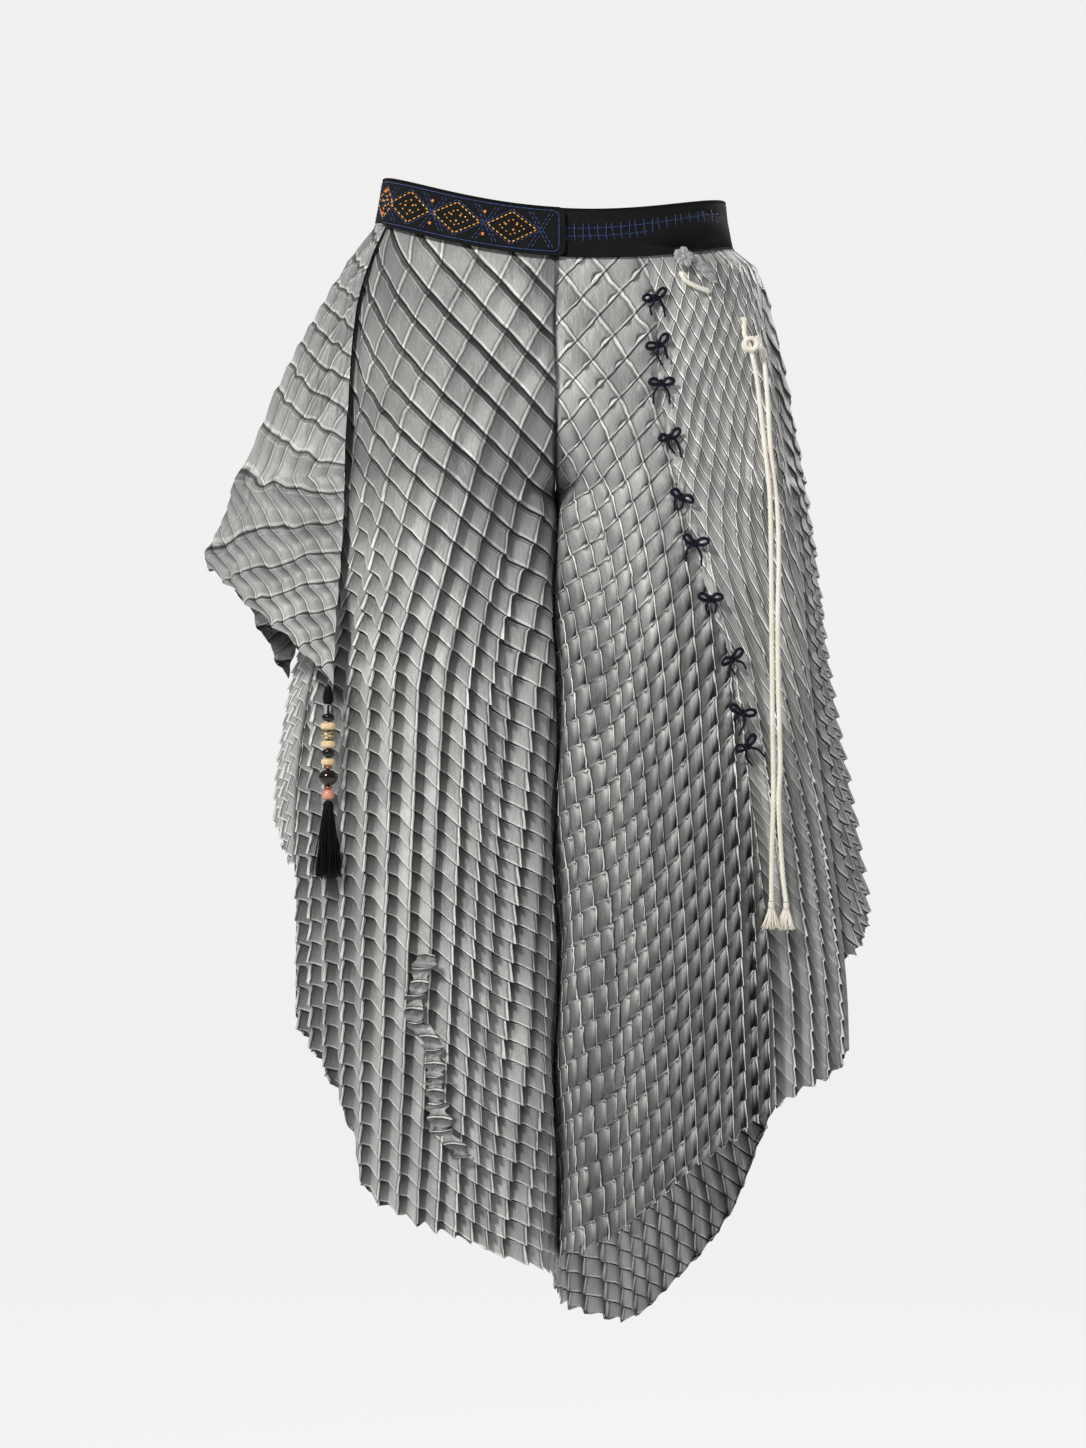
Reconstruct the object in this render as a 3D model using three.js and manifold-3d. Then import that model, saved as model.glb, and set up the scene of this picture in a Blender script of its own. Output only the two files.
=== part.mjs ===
// Wide trousers of crossed-pleated taffeta with a black embroidered waistband, a pouch-like
// flap at one hip, a laced seam with ribbon bows, a hanging cotton cord and a beaded tassel.
// Millimetres, +Z up, the front faces -Y, the wearer's left is +X. The origin is the middle of
// the waist opening, where a waist holds the garment up.
import * as THREE from "three";
import { mergeVertices } from "three/addons/utils/BufferGeometryUtils.js";
import Module from "manifold-3d";

const wasm = await Module();
wasm.setup();

// Driving dimensions
const SEAM_GAP = 0.4; // between sewn pieces
const WALL = 1.8; // cloth wall, measured square to the unpleated surface
const BAND_HEIGHT = 42;
const BAND_WALL = 2.5;
const BAND_LAP = 2.9; // how far the lapped end of the waistband stands over the other end
const LAP_LENGTH = 7; // past the centre front
const SEAM_Z = -22; // of the waist seam at the centre front
const CROTCH_Z = -220;
const CROTCH_RISE = 85; // height of the curve where the centre seams turn under
const CROTCH_BEND = 1.8; // how late they turn
const PLEAT_FADE = 9; // pleats die out this near to a seam
const FINE_GAP = 0.4; // least clearance of a pleat from the middle plane
const TURN = 2 * Math.PI;

// Half-width and depth of the garment at each height, for the wearer's right and left side.
const rightRows = [
  { z: 70, outer: 146, inner: 0.2, front: 90, back: 90 },
  { z: 12, outer: 156, inner: 0.2, front: 94, back: 94 },
  { z: -22, outer: 167, inner: 0.2, front: 97, back: 98 },
  { z: -60, outer: 175, inner: 0.2, front: 104, back: 110 },
  { z: -135, outer: 185, inner: 0.2, front: 115, back: 125 },
  { z: -220, outer: 194, inner: 0.2, front: 126, back: 132 },
  { z: -280, outer: 204, inner: 4.5, front: 132, back: 137 },
  { z: -343, outer: 218, inner: 6, front: 139, back: 143 },
  { z: -400, outer: 232, inner: 6.5, front: 144, back: 148 },
  { z: -493, outer: 242, inner: 6.5, front: 151, back: 155 },
  { z: -664, outer: 243, inner: 6.5, front: 163, back: 168 },
  { z: -960, outer: 249, inner: 6.5, front: 176, back: 186 },
];
const leftRows = [
  { z: 70, outer: 143, inner: 0.2, front: 90, back: 90 },
  { z: 0, outer: 150, inner: 0.2, front: 94, back: 94 },
  { z: -22, outer: 175, inner: 0.2, front: 97, back: 98 },
  { z: -60, outer: 187, inner: 0.2, front: 104, back: 110 },
  { z: -135, outer: 203, inner: 0.2, front: 115, back: 125 },
  { z: -220, outer: 217, inner: 0.2, front: 126, back: 132 },
  { z: -280, outer: 226, inner: 4.5, front: 132, back: 137 },
  { z: -343, outer: 233, inner: 6, front: 139, back: 143 },
  { z: -430, outer: 246, inner: 6.5, front: 146, back: 150 },
  { z: -535, outer: 264, inner: 6.5, front: 154, back: 159 },
  { z: -664, outer: 278, inner: 6.5, front: 163, back: 168 },
  { z: -960, outer: 283, inner: 6.5, front: 176, back: 186 },
];

// Hem height at shares of the way round each leg: 0 is the inseam at the front.
const rightFrontHem = [
  { at: 0, z: -893 },
  { at: 0.095, z: -876 },
  { at: 0.17, z: -849 },
  { at: 0.235, z: -827 },
  { at: 0.29, z: -805 },
  { at: 0.306, z: -762 },
  { at: 0.33, z: -718 },
  { at: 0.357, z: -692 },
  { at: 0.4, z: -660 },
];
const rightBackHem = [
  { at: 0.4, z: -542 },
  { at: 0.5, z: -493 },
  { at: 0.6, z: -560 },
  { at: 0.7, z: -650 },
  { at: 0.85, z: -790 },
  { at: 1, z: -850 },
];
const leftFrontHem = [
  { at: 0, z: -885 },
  { at: 0.108, z: -856 },
  { at: 0.16, z: -826 },
  { at: 0.222, z: -778 },
  { at: 0.284, z: -741 },
  { at: 0.326, z: -720 },
  { at: 0.36, z: -709 },
  { at: 0.4, z: -680 },
];
const leftBackHem = [
  { at: 0.4, z: -613 },
  { at: 0.5, z: -572 },
  { at: 0.55, z: -600 },
  { at: 0.6, z: -632 },
  { at: 0.65, z: -702 },
  { at: 0.7, z: -796 },
  { at: 0.73, z: -860 },
  { at: 0.78, z: -916 },
  { at: 0.846, z: -956 },
  { at: 0.93, z: -924 },
  { at: 1, z: -892 },
];

// The laced seam of the wearer's left front: its share of the way round at each height.
const lacedSeam = [
  { z: 0, at: 0.214 },
  { z: -57, at: 0.216 },
  { z: -99, at: 0.218 },
  { z: -178, at: 0.234 },
  { z: -266, at: 0.252 },
  { z: -316, at: 0.266 },
  { z: -363, at: 0.284 },
  { z: -436, at: 0.29 },
  { z: -960, at: 0.3 },
];

// The side seam of each leg, likewise.
const rightSideSeam = [
  { z: 0, at: 0.43 },
  { z: -220, at: 0.4 },
];
const leftSideSeam = [
  { z: 0, at: 0.47 },
  { z: -77, at: 0.42 },
  { z: -280, at: 0.41 },
  { z: -480, at: 0.39 },
];

// How far pleat ridges stand out of, and sink into, the surface at each height.
const pleatDepth = [
  { z: 0, depth: 0.4 },
  { z: -60, depth: 1.2 },
  { z: -135, depth: 2 },
  { z: -220, depth: 2.8 },
  { z: -350, depth: 4 },
  { z: -500, depth: 5 },
  { z: -960, depth: 5 },
];

// The hip flap in plan at each height, for the wearer's right side: its open front edge, its
// outer fold, and its back edge, which lies against the leg.
const flapRows = [
  { z: 14, edgeX: 145.5, edgeY: -38, foldX: 156.5, foldY: -17, backX: 157, backY: 14 },
  { z: -20, edgeX: 161, edgeY: -37, foldX: 182, foldY: -20, backX: 174, backY: 18 },
  { z: -54, edgeX: 171, edgeY: -35, foldX: 202, foldY: -20, backX: 182, backY: 22 },
  { z: -97, edgeX: 176, edgeY: -40, foldX: 226, foldY: -20, backX: 189, backY: 26 },
  { z: -140, edgeX: 178, edgeY: -52, foldX: 247, foldY: -22, backX: 195, backY: 28 },
  { z: -182, edgeX: 180, edgeY: -68, foldX: 265, foldY: -25, backX: 201, backY: 30 },
  { z: -225, edgeX: 180, edgeY: -84, foldX: 284, foldY: -30, backX: 206, backY: 30 },
  { z: -281, edgeX: 182, edgeY: -106, foldX: 301, foldY: -36, backX: 216, backY: 30 },
  { z: -330, edgeX: 184.5, edgeY: -132, foldX: 302, foldY: -43, backX: 224, backY: 30 },
  { z: -390, edgeX: 186, edgeY: -158, foldX: 300, foldY: -50, backX: 238, backY: 30 },
];
const flapHem = [
  { at: 0, z: -383 },
  { at: 0.3, z: -346 },
  { at: 0.5, z: -326 },
  { at: 0.96, z: -284 },
  { at: 1.06, z: -284 },
  { at: 1.3, z: -310 },
  { at: 1.6, z: -346 },
  { at: 2, z: -378 },
];

// Bows down the laced seam: height and how far each is turned.
const bows = [
  { z: -57, turn: 0.35 },
  { z: -97, turn: 0.5 },
  { z: -130, turn: 0 },
  { z: -177, turn: 0.3 },
  { z: -227, turn: -0.4 },
  { z: -266, turn: -0.15 },
  { z: -313, turn: 0.1 },
  { z: -363, turn: 0.45 },
  { z: -408, turn: -0.3 },
  { z: -436, turn: 0.6 },
];

// Beads above the tassel, top to bottom.
const beads = [
  { name: "bead_black_disc", radius: 4.6, height: 6.6, colour: 0x0c0b0b },
  { name: "bead_cream_upper", radius: 6.3, height: 6.8, colour: 0xd9c08d },
  { name: "bead_brass_ring", radius: 6.3, height: 7.6, colour: 0xb99a55 },
  { name: "bead_cream_middle", radius: 6.1, height: 6.6, colour: 0xd9c08d },
  { name: "bead_black_barrel", radius: 4.6, height: 7.4, colour: 0x0c0b0b },
  { name: "bead_cream_lower", radius: 5.5, height: 6.4, colour: 0xe4d2b4 },
  { name: "bead_copper_upper", radius: 3.4, height: 2.4, colour: 0x8a4a2a },
  { name: "bead_agate_ball", radius: 7.7, height: 13.4, colour: 0x160c07 },
  { name: "bead_copper_lower", radius: 3.2, height: 2.4, colour: 0x8a4a2a },
  { name: "bead_coral", radius: 5.1, height: 8.6, colour: 0xb36a55 },
];

// Routes of the cotton cord over the wearer's left leg, each point so far out of the cloth. The
// first strand comes out of the laced seam's side panel and runs through the knot.
const CORD = 4;
const strandA = [
  { at: 0.36, z: -70.5, out: 1 },
  { at: 0.3585, z: -71.5, out: 4.6 },
  { at: 0.352, z: -77, out: 7.2 },
  { at: 0.346, z: -86, out: 9.6 },
  { at: 0.35, z: -95, out: 10.6 },
  { at: 0.354, z: -104, out: 10.2 },
  { at: 0.36, z: -125, out: 8.5 },
  { at: 0.36, z: -158, out: 8 },
  { at: 0.358, z: -187, out: 8 },
  { at: 0.354, z: -225, out: 8 },
  { at: 0.342, z: -280, out: 8.4 },
  { at: 0.334, z: -334, out: 8.6 },
  { at: 0.322, z: -409, out: 9 },
  { at: 0.312, z: -473, out: 9.4 },
  { at: 0.302, z: -525, out: 10 },
  { at: 0.296, z: -565, out: 12 },
];
const strandB = [
  { at: 0.371, z: -86, out: 9 },
  { at: 0.377, z: -105, out: 9.4 },
  { at: 0.369, z: -148, out: 12 },
  { at: 0.366, z: -187, out: 9 },
  { at: 0.36, z: -235, out: 10 },
  { at: 0.35, z: -280, out: 11 },
  { at: 0.338, z: -334, out: 12.8 },
  { at: 0.33, z: -388, out: 12.6 },
  { at: 0.322, z: -451, out: 11.6 },
  { at: 0.314, z: -483, out: 12.6 },
  { at: 0.31, z: -536, out: 12 },
  { at: 0.31, z: -566, out: 13 },
];
const KNOT_POINT = 4; // of the first strand
const loopCord = [
  { at: 0.264, z: -33.5, out: 1.6 },
  { at: 0.264, z: -35.5, out: 3.4 },
  { at: 0.268, z: -41, out: 4.2 },
  { at: 0.28, z: -45, out: 4.6 },
  { at: 0.294, z: -47.5, out: 4 },
  { at: 0.302, z: -48.3, out: 3.4 },
  { at: 0.304, z: -48.5, out: 1.7 },
];

const taffeta = new THREE.MeshStandardMaterial({ color: 0x8d8d8b, roughness: 0.42, metalness: 0.15 });
const blackCloth = new THREE.MeshStandardMaterial({ color: 0x0b0b0d, roughness: 0.85, metalness: 0 });
const ribbon = new THREE.MeshStandardMaterial({ color: 0x0d1020, roughness: 0.5, metalness: 0 });
const cotton = new THREE.MeshStandardMaterial({ color: 0xe9dfc6, roughness: 0.9, metalness: 0 });
const blackThread = new THREE.MeshStandardMaterial({ color: 0x060606, roughness: 0.7, metalness: 0 });

const trousers = new THREE.Group();

// Smooth curve through a table's rows: key is the column read, along the one it is read at.
function read(rows, along, key, at) {
  const rising = rows[rows.length - 1][along] > rows[0][along];
  let i = rows.findIndex((row) => (rising ? row[along] > at : row[along] < at));
  if (i === 0) return rows[0][key];
  if (i < 0) return rows[rows.length - 1][key];
  i -= 1;
  const slope = (a, b) => (rows[b][key] - rows[a][key]) / (rows[b][along] - rows[a][along]);
  const middle = slope(i, i + 1);
  // A slope that keeps the curve between its rows
  const tangent = (a, b, c) => {
    const before = slope(a, b);
    const after = slope(b, c);
    return before * after <= 0 ? 0 : (2 * before * after) / (before + after);
  };
  const start = i > 0 ? tangent(i - 1, i, i + 1) : middle;
  const end = i + 2 < rows.length ? tangent(i, i + 1, i + 2) : middle;
  const step = rows[i + 1][along] - rows[i][along];
  const t = (at - rows[i][along]) / step;
  const rise = rows[i + 1][key] - rows[i][key];
  return (
    rows[i][key] +
    rise * t * t * (3 - 2 * t) +
    step * t * (1 - t) * (start * (1 - t) - end * t)
  );
}

// A leg with its tables; side is +1 for the wearer's left and -1 for the right.
const left = { side: 1, rows: leftRows };
const right = { side: -1, rows: rightRows };

// 0 where the two halves of the hip ring meet at the centre, 1 where the legs are separate tubes.
function crotchShare(z) {
  const rise = (z - CROTCH_Z) / CROTCH_RISE;
  return (1 - THREE.MathUtils.clamp(rise, 0, 1)) ** CROTCH_BEND;
}

// A point of the ring that both legs share above the crotch: 0 is the centre front, 1 the back.
function ringPoint(leg, share, z) {
  const outer = read(leg.rows, "z", "outer", z);
  const depth = read(leg.rows, "z", share < 0.5 ? "front" : "back", z);
  const angle = Math.PI * share;
  return new THREE.Vector3(leg.side * outer * Math.sin(angle), -depth * Math.cos(angle), z);
}

// Where a share of the way round a leg lies on that ring. Columns crowd towards the centre seams,
// so that pleats fan out from the waist and run on smoothly past the crotch.
function ringShare(at, z) {
  const half = at < 0.5 ? at : 1 - at;
  const bent = (Math.sign(half) * Math.asin(Math.sin(Math.PI * half) ** 2)) / Math.PI;
  const bend = 0.8 + 0.18 * THREE.MathUtils.smoothstep(-z, 60, CROTCH_RISE - CROTCH_Z - 140);
  const moved = half + (bent - half) * bend;
  return at < 0.5 ? moved : 1 - moved;
}

// A point of the unpleated surface: at is the share of the way round, 0 at the front.
function legPoint(leg, at, z) {
  const outer = read(leg.rows, "z", "outer", z);
  const inner = read(leg.rows, "z", "inner", z);
  const depth = read(leg.rows, "z", at < 0.5 ? "front" : "back", z);
  const x = (outer + inner) / 2 - ((outer - inner) / 2) * Math.cos(TURN * at);
  const tube = new THREE.Vector3(leg.side * x, -depth * Math.sin(TURN * at), z);
  return ringPoint(leg, ringShare(at, z), z).lerp(tube, crotchShare(z));
}

// The outward direction there.
function legNormal(leg, at, z) {
  const across = legPoint(leg, at + 1e-3, z).sub(legPoint(leg, at - 1e-3, z));
  const up = legPoint(leg, at, z + 1).sub(legPoint(leg, at, z - 1));
  return across.cross(up).normalize().multiplyScalar(leg.side);
}

// Millimetres that one whole turn round the leg would be, at the local speed.
function speed(leg, at, z) {
  return legPoint(leg, at + 5e-4, z).distanceTo(legPoint(leg, at - 5e-4, z)) / 1e-3;
}

// Middle height of the waistband round the ring: it dips at the centre front and tilts a little.
function bandMiddle(leg, share) {
  const across = Math.sin(Math.PI * share);
  const along = -Math.cos(Math.PI * share);
  const rise = 26 * across * across + 9 * (1 + along) * along * along;
  return rise - 10 * leg.side * across;
}

// A closed solid from two grids of points, outer and inner, each (columns + 1) by (rows + 1).
function wallSolid(columns, rows, outer, inner) {
  const wide = columns + 1;
  const layer = wide * (rows + 1);
  const points = [];
  for (const side of [outer, inner])
    for (let j = 0; j <= rows; j++)
      for (let i = 0; i <= columns; i++) points.push(...side(i, j).toArray());
  const faces = [];
  const quad = (a, b, c, d) => faces.push(a, b, c, a, c, d);
  const at = (i, j, deep) => deep * layer + j * wide + i;
  for (let j = 0; j < rows; j++)
    for (let i = 0; i < columns; i++) {
      quad(at(i, j, 0), at(i, j + 1, 0), at(i + 1, j + 1, 0), at(i + 1, j, 0));
      quad(at(i, j, 1), at(i + 1, j, 1), at(i + 1, j + 1, 1), at(i, j + 1, 1));
    }
  for (let i = 0; i < columns; i++) {
    quad(at(i, 0, 0), at(i + 1, 0, 0), at(i + 1, 0, 1), at(i, 0, 1));
    quad(at(i, rows, 0), at(i, rows, 1), at(i + 1, rows, 1), at(i + 1, rows, 0));
  }
  for (let j = 0; j < rows; j++) {
    quad(at(0, j, 0), at(0, j, 1), at(0, j + 1, 1), at(0, j + 1, 0));
    quad(at(columns, j, 0), at(columns, j + 1, 0), at(columns, j + 1, 1), at(columns, j, 1));
  }
  return facingOut(geometryOf(points, faces));
}

function geometryOf(points, faces) {
  const geometry = new THREE.BufferGeometry();
  geometry.setAttribute("position", new THREE.Float32BufferAttribute(points, 3));
  geometry.setIndex(faces);
  return geometry;
}

// Turns a closed mesh's faces round if they point inwards.
function facingOut(geometry) {
  const position = geometry.getAttribute("position");
  const index = geometry.getIndex();
  const corner = (k) => new THREE.Vector3().fromBufferAttribute(position, index.getX(k));
  let volume = 0;
  for (let k = 0; k < index.count; k += 3)
    volume += corner(k).dot(corner(k + 1).cross(corner(k + 2)));
  if (volume < 0)
    for (let k = 0; k < index.count; k += 3) {
      const second = index.getX(k + 1);
      index.setX(k + 1, index.getX(k + 2));
      index.setX(k + 2, second);
    }
  geometry.computeVertexNormals();
  return geometry;
}

function add(name, geometry, material) {
  const mesh = new THREE.Mesh(geometry, material);
  mesh.name = name;
  trousers.add(mesh);
  return mesh;
}

// manifold-3d solid of a closed geometry, and back again.
function solidOf(geometry) {
  const bare = geometry.clone();
  bare.deleteAttribute("normal");
  bare.deleteAttribute("uv");
  const merged = mergeVertices(bare, 1e-3);
  return new wasm.Manifold(
    new wasm.Mesh({
      numProp: 3,
      vertProperties: merged.getAttribute("position").array,
      triVerts: new Uint32Array(merged.getIndex().array),
    }),
  );
}

function joined(geometries) {
  const whole = geometries.map(solidOf).reduce((a, b) => a.add(b));
  const mesh = whole.getMesh();
  return geometryOf(Array.from(mesh.vertProperties), Array.from(mesh.triVerts));
}

// Rows of a leg panel: heights down to the crotch, then shares of the way on to the hem.
const RISE_ROWS = [0, 0.3, 0.57, 0.74, 0.88, 1];
const FRONT_LEG_ROWS = [0.12, 0.3, 0.52, 0.76, 1];

// One pleated leg panel, cut as one but built as two nodes that meet at the crotch's height, so
// that collision follows the inside of the hip and of the leg. from and to give its edges' share
// of the way round at a height.
function legPanel(name, leg, { from, to, hem, pleats, legRows }) {
  const columns = 2 * pleats;
  const heights = [...RISE_ROWS.map((f) => [f, 0]), ...legRows.map((f) => [1, f])];
  const place = (i, j) => {
    const [rise, drop] = heights[j];
    let at = from(CROTCH_Z);
    let z = CROTCH_Z;
    for (let pass = 0; pass < 4; pass++) {
      const low = from(z) + SEAM_GAP / 2 / speed(leg, from(z), z);
      const high = to(z) - SEAM_GAP / 2 / speed(leg, to(z), z);
      at = low + ((high - low) * i) / columns;
      const top = bandMiddle(leg, ringShare(at, SEAM_Z)) - BAND_HEIGHT / 2 - SEAM_GAP;
      z = top + (CROTCH_Z - top) * rise;
      z += (read(hem, "at", "z", at) - CROTCH_Z) * drop;
    }
    return { at, z, low: from(z), high: to(z) };
  };
  const surface = (i, j, deep, shift) => {
    const { at, z: level, low, high } = place(i, j);
    const z = level + shift;
    const base = legPoint(leg, at, z);
    const normal = legNormal(leg, at, z);
    const edge = Math.min(at - low, high - at) * speed(leg, at, z);
    const clear = Math.max(0, Math.abs(base.x) - FINE_GAP);
    const fade = Math.min(1, edge / PLEAT_FADE);
    const depth = Math.min(read(pleatDepth, "z", "depth", z) * fade, clear);
    const ridge = i % 2 ? depth : -depth;
    return base.addScaledVector(normal, ridge - deep);
  };
  const meeting = RISE_ROWS.length - 1;
  const stretch = (part, first, last, gap) => {
    const side = (deep) => (i, j) => surface(i, first + j, deep, first + j === meeting ? gap : 0);
    add(name + part, wallSolid(columns, last - first, side(0), side(WALL)), taffeta);
  };
  stretch("_hip", 0, meeting, SEAM_GAP / 2);
  stretch("_leg", meeting, heights.length - 1, -SEAM_GAP / 2);
}

// A back panel's rows meet the front's at the side seam, so that the two edges follow each other.
function backLegRows(side, frontHem, backHem) {
  const at = side(CROTCH_Z);
  const drop = (hem) => read(hem, "at", "z", at) - CROTCH_Z;
  const rows = FRONT_LEG_ROWS.map((f) => (f * drop(frontHem)) / drop(backHem));
  return [...rows.filter((f) => f < 0.95), 1];
}

const still = (value) => () => value;
const laced = (z) => read(lacedSeam, "z", "at", z);
const rightSide = (z) => read(rightSideSeam, "z", "at", z);
const leftSide = (z) => read(leftSideSeam, "z", "at", z);
legPanel("right_front", right, {
  legRows: FRONT_LEG_ROWS,
  from: still(0),
  to: rightSide,
  hem: rightFrontHem,
  pleats: 18,
});
legPanel("left_front", left, {
  legRows: FRONT_LEG_ROWS,
  from: still(0),
  to: laced,
  hem: leftFrontHem,
  pleats: 15,
});
legPanel("left_side_front", left, {
  legRows: FRONT_LEG_ROWS,
  from: laced,
  to: leftSide,
  hem: leftFrontHem,
  pleats: 6,
});
legPanel("right_back", right, {
  legRows: backLegRows(rightSide, rightFrontHem, rightBackHem),
  from: rightSide,
  to: still(1),
  hem: rightBackHem,
  pleats: 22,
});
legPanel("left_back", left, {
  legRows: backLegRows(leftSide, leftFrontHem, leftBackHem),
  from: leftSide,
  to: still(1),
  hem: leftBackHem,
  pleats: 24,
});

// A curved stretch of waistband between two shares of the way round; lap moves it out.
function waistband(name, leg, from, to, columns, lap) {
  const surface = (i, j, deep) => {
    const share = from + ((to - from) * i) / columns;
    const z = bandMiddle(leg, Math.max(0, share)) + BAND_HEIGHT * (0.5 - j);
    const step = ringPoint(leg, share + 1e-3, z).sub(ringPoint(leg, share - 1e-3, z));
    const outward = new THREE.Vector3(step.y, -step.x, 0).normalize().multiplyScalar(leg.side);
    return ringPoint(leg, share, z).addScaledVector(outward, lap(share) + BAND_WALL - deep);
  };
  const outer = (i, j) => surface(i, j, 0);
  const inner = (i, j) => surface(i, j, BAND_WALL);
  add(name, wallSolid(columns, 1, outer, inner), blackCloth);
}

const BAND_SIDE = 0.46; // where the front and back of the waistband meet
const BAND_GAP = SEAM_GAP / 2 / 470;
const LAP_SHARE = LAP_LENGTH / 460;
const lapped = (share) => BAND_LAP * THREE.MathUtils.smoothstep(BAND_SIDE - share, 0, 0.2);
waistband("waistband_right_front", right, -LAP_SHARE, BAND_SIDE - BAND_GAP, 16, lapped);
waistband("waistband_left_front", left, BAND_GAP, BAND_SIDE - BAND_GAP, 16, still(0));
waistband("waistband_right_back", right, BAND_SIDE + BAND_GAP, 1 - BAND_GAP, 16, still(0));
waistband("waistband_left_back", left, BAND_SIDE + BAND_GAP, 1 - BAND_GAP, 16, still(0));

// The hip flap in plan: across runs 0 at the open edge, 1 at the outer fold, 2 at the leg.
const FLAP_BULGE = 9;
const FLAP_FOLD = 7;
function flapPoint(across, z) {
  const value = (key) => read(flapRows, "z", key, z);
  const edge = new THREE.Vector2(value("edgeX"), value("edgeY"));
  const fold = new THREE.Vector2(value("foldX"), value("foldY"));
  const rear = new THREE.Vector2(value("backX"), value("backY"));
  const room = THREE.MathUtils.clamp((fold.distanceTo(edge) - 20) / 45, 0, 1);
  const outward = new THREE.Vector2(fold.y - edge.y, edge.x - fold.x).normalize();
  const middle = edge.clone().lerp(fold, 0.5).addScaledVector(outward, FLAP_BULGE * room);
  const frontSide = fold.clone().addScaledVector(outward, FLAP_FOLD * room);
  frontSide.x -= FLAP_FOLD * room;
  const rearSide = fold.clone().addScaledVector(outward, -FLAP_FOLD * room);
  rearSide.x -= FLAP_FOLD * room;
  const rearMiddle = fold.clone().lerp(rear, 0.55).addScaledVector(outward, -4 * room);
  const path = [edge, middle, frontSide, fold, rearSide, rearMiddle, rear];
  const stops = [0, 0.5, 0.92, 1, 1.08, 1.5, 2];
  const rows = path.map((p, k) => ({ at: stops[k], x: p.x, y: p.y }));
  const x = read(rows, "at", "x", across);
  return new THREE.Vector3(-x, read(rows, "at", "y", across), z);
}

function flapNormal(across, z) {
  const step = 0.02;
  const low = Math.max(0, across - step);
  const high = Math.min(2, across + step);
  const along = flapPoint(high, z).sub(flapPoint(low, z));
  return new THREE.Vector3(along.y, -along.x, 0).normalize();
}

const FLAP_COLUMNS = [0, 0.25, 0.5, 0.78, 0.94, 1, 1.06, 1.3, 1.6, 2];
const FLAP_WAVES = 9;
const FLAP_WAVE_DEPTH = 2.6;
const FLAP_PLAIN_ROWS = 3;
function hipFlap() {
  const rows = FLAP_PLAIN_ROWS + 2 * FLAP_WAVES;
  const surface = (i, j, deep) => {
    const across = FLAP_COLUMNS[i];
    const hem = read(flapHem, "at", "z", across);
    const top = bandMiddle(right, 0.368 + 0.09 * across) - BAND_HEIGHT / 2 - 2 * SEAM_GAP;
    const z = top + ((hem - top) * j) / rows;
    const bare = Math.min(1, Math.max(0, (j - 2) / 4)) * Math.min(1, (2 - across) / 0.5);
    const wave = j % 2 ? FLAP_WAVE_DEPTH : -FLAP_WAVE_DEPTH;
    const out = wave * Math.max(0, bare) - deep;
    return flapPoint(across, z).addScaledVector(flapNormal(across, z), out);
  };
  const outer = (i, j) => surface(i, j, 0);
  const inner = (i, j) => surface(i, j, WALL);
  add("hip_flap", wallSolid(FLAP_COLUMNS.length - 1, rows, outer, inner), taffeta);
}
hipFlap();

// The gathered tuck low on the wearer's right front: a wavy strip moved out from the panel.
const ruffleRows = [
  { z: -608, at: 0.229 },
  { z: -660, at: 0.242 },
  { z: -682, at: 0.222 },
  { z: -720, at: 0.22 },
  { z: -752, at: 0.212 },
  { z: -776, at: 0.186 },
];
const RUFFLE_WIDTH = 17;
const RUFFLE_WAVES = 7;
const RUFFLE_DEPTH = 3;
function ruffle() {
  const columns = 4 * RUFFLE_WAVES;
  const top = ruffleRows[0].z;
  const bottom = ruffleRows[ruffleRows.length - 1].z;
  const surface = (i, j, deep) => {
    const z = top + ((bottom - top) * i) / columns;
    const at = read(ruffleRows, "z", "at", z) + (0.5 - j) * (RUFFLE_WIDTH / speed(right, 0.22, z));
    const wave = RUFFLE_DEPTH * Math.sin((Math.PI / 2) * i + j * 0.6);
    const out = read(pleatDepth, "z", "depth", z) + 1.3 + RUFFLE_DEPTH + wave * (0.5 + j / 2);
    return legPoint(right, at, z).addScaledVector(legNormal(right, at, z), out - deep);
  };
  const outer = (i, j) => surface(i, j, 0);
  const inner = (i, j) => surface(i, j, 1.5);
  add("right_front_ruffle", wallSolid(columns, 1, outer, inner), taffeta);
}
ruffle();

// A tube of a given number of sides along points, closed at both ends.
function tube(points, radius, sides, steps) {
  const path = new THREE.CatmullRomCurve3(points);
  const circle = new THREE.Shape();
  for (let k = 0; k < sides; k++) {
    const angle = (TURN * k) / sides;
    const x = radius * Math.cos(angle);
    const y = radius * Math.sin(angle);
    if (k) circle.lineTo(x, y);
    else circle.moveTo(x, y);
  }
  return new THREE.ExtrudeGeometry(circle, { steps, extrudePath: path, bevelEnabled: false });
}

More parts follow.
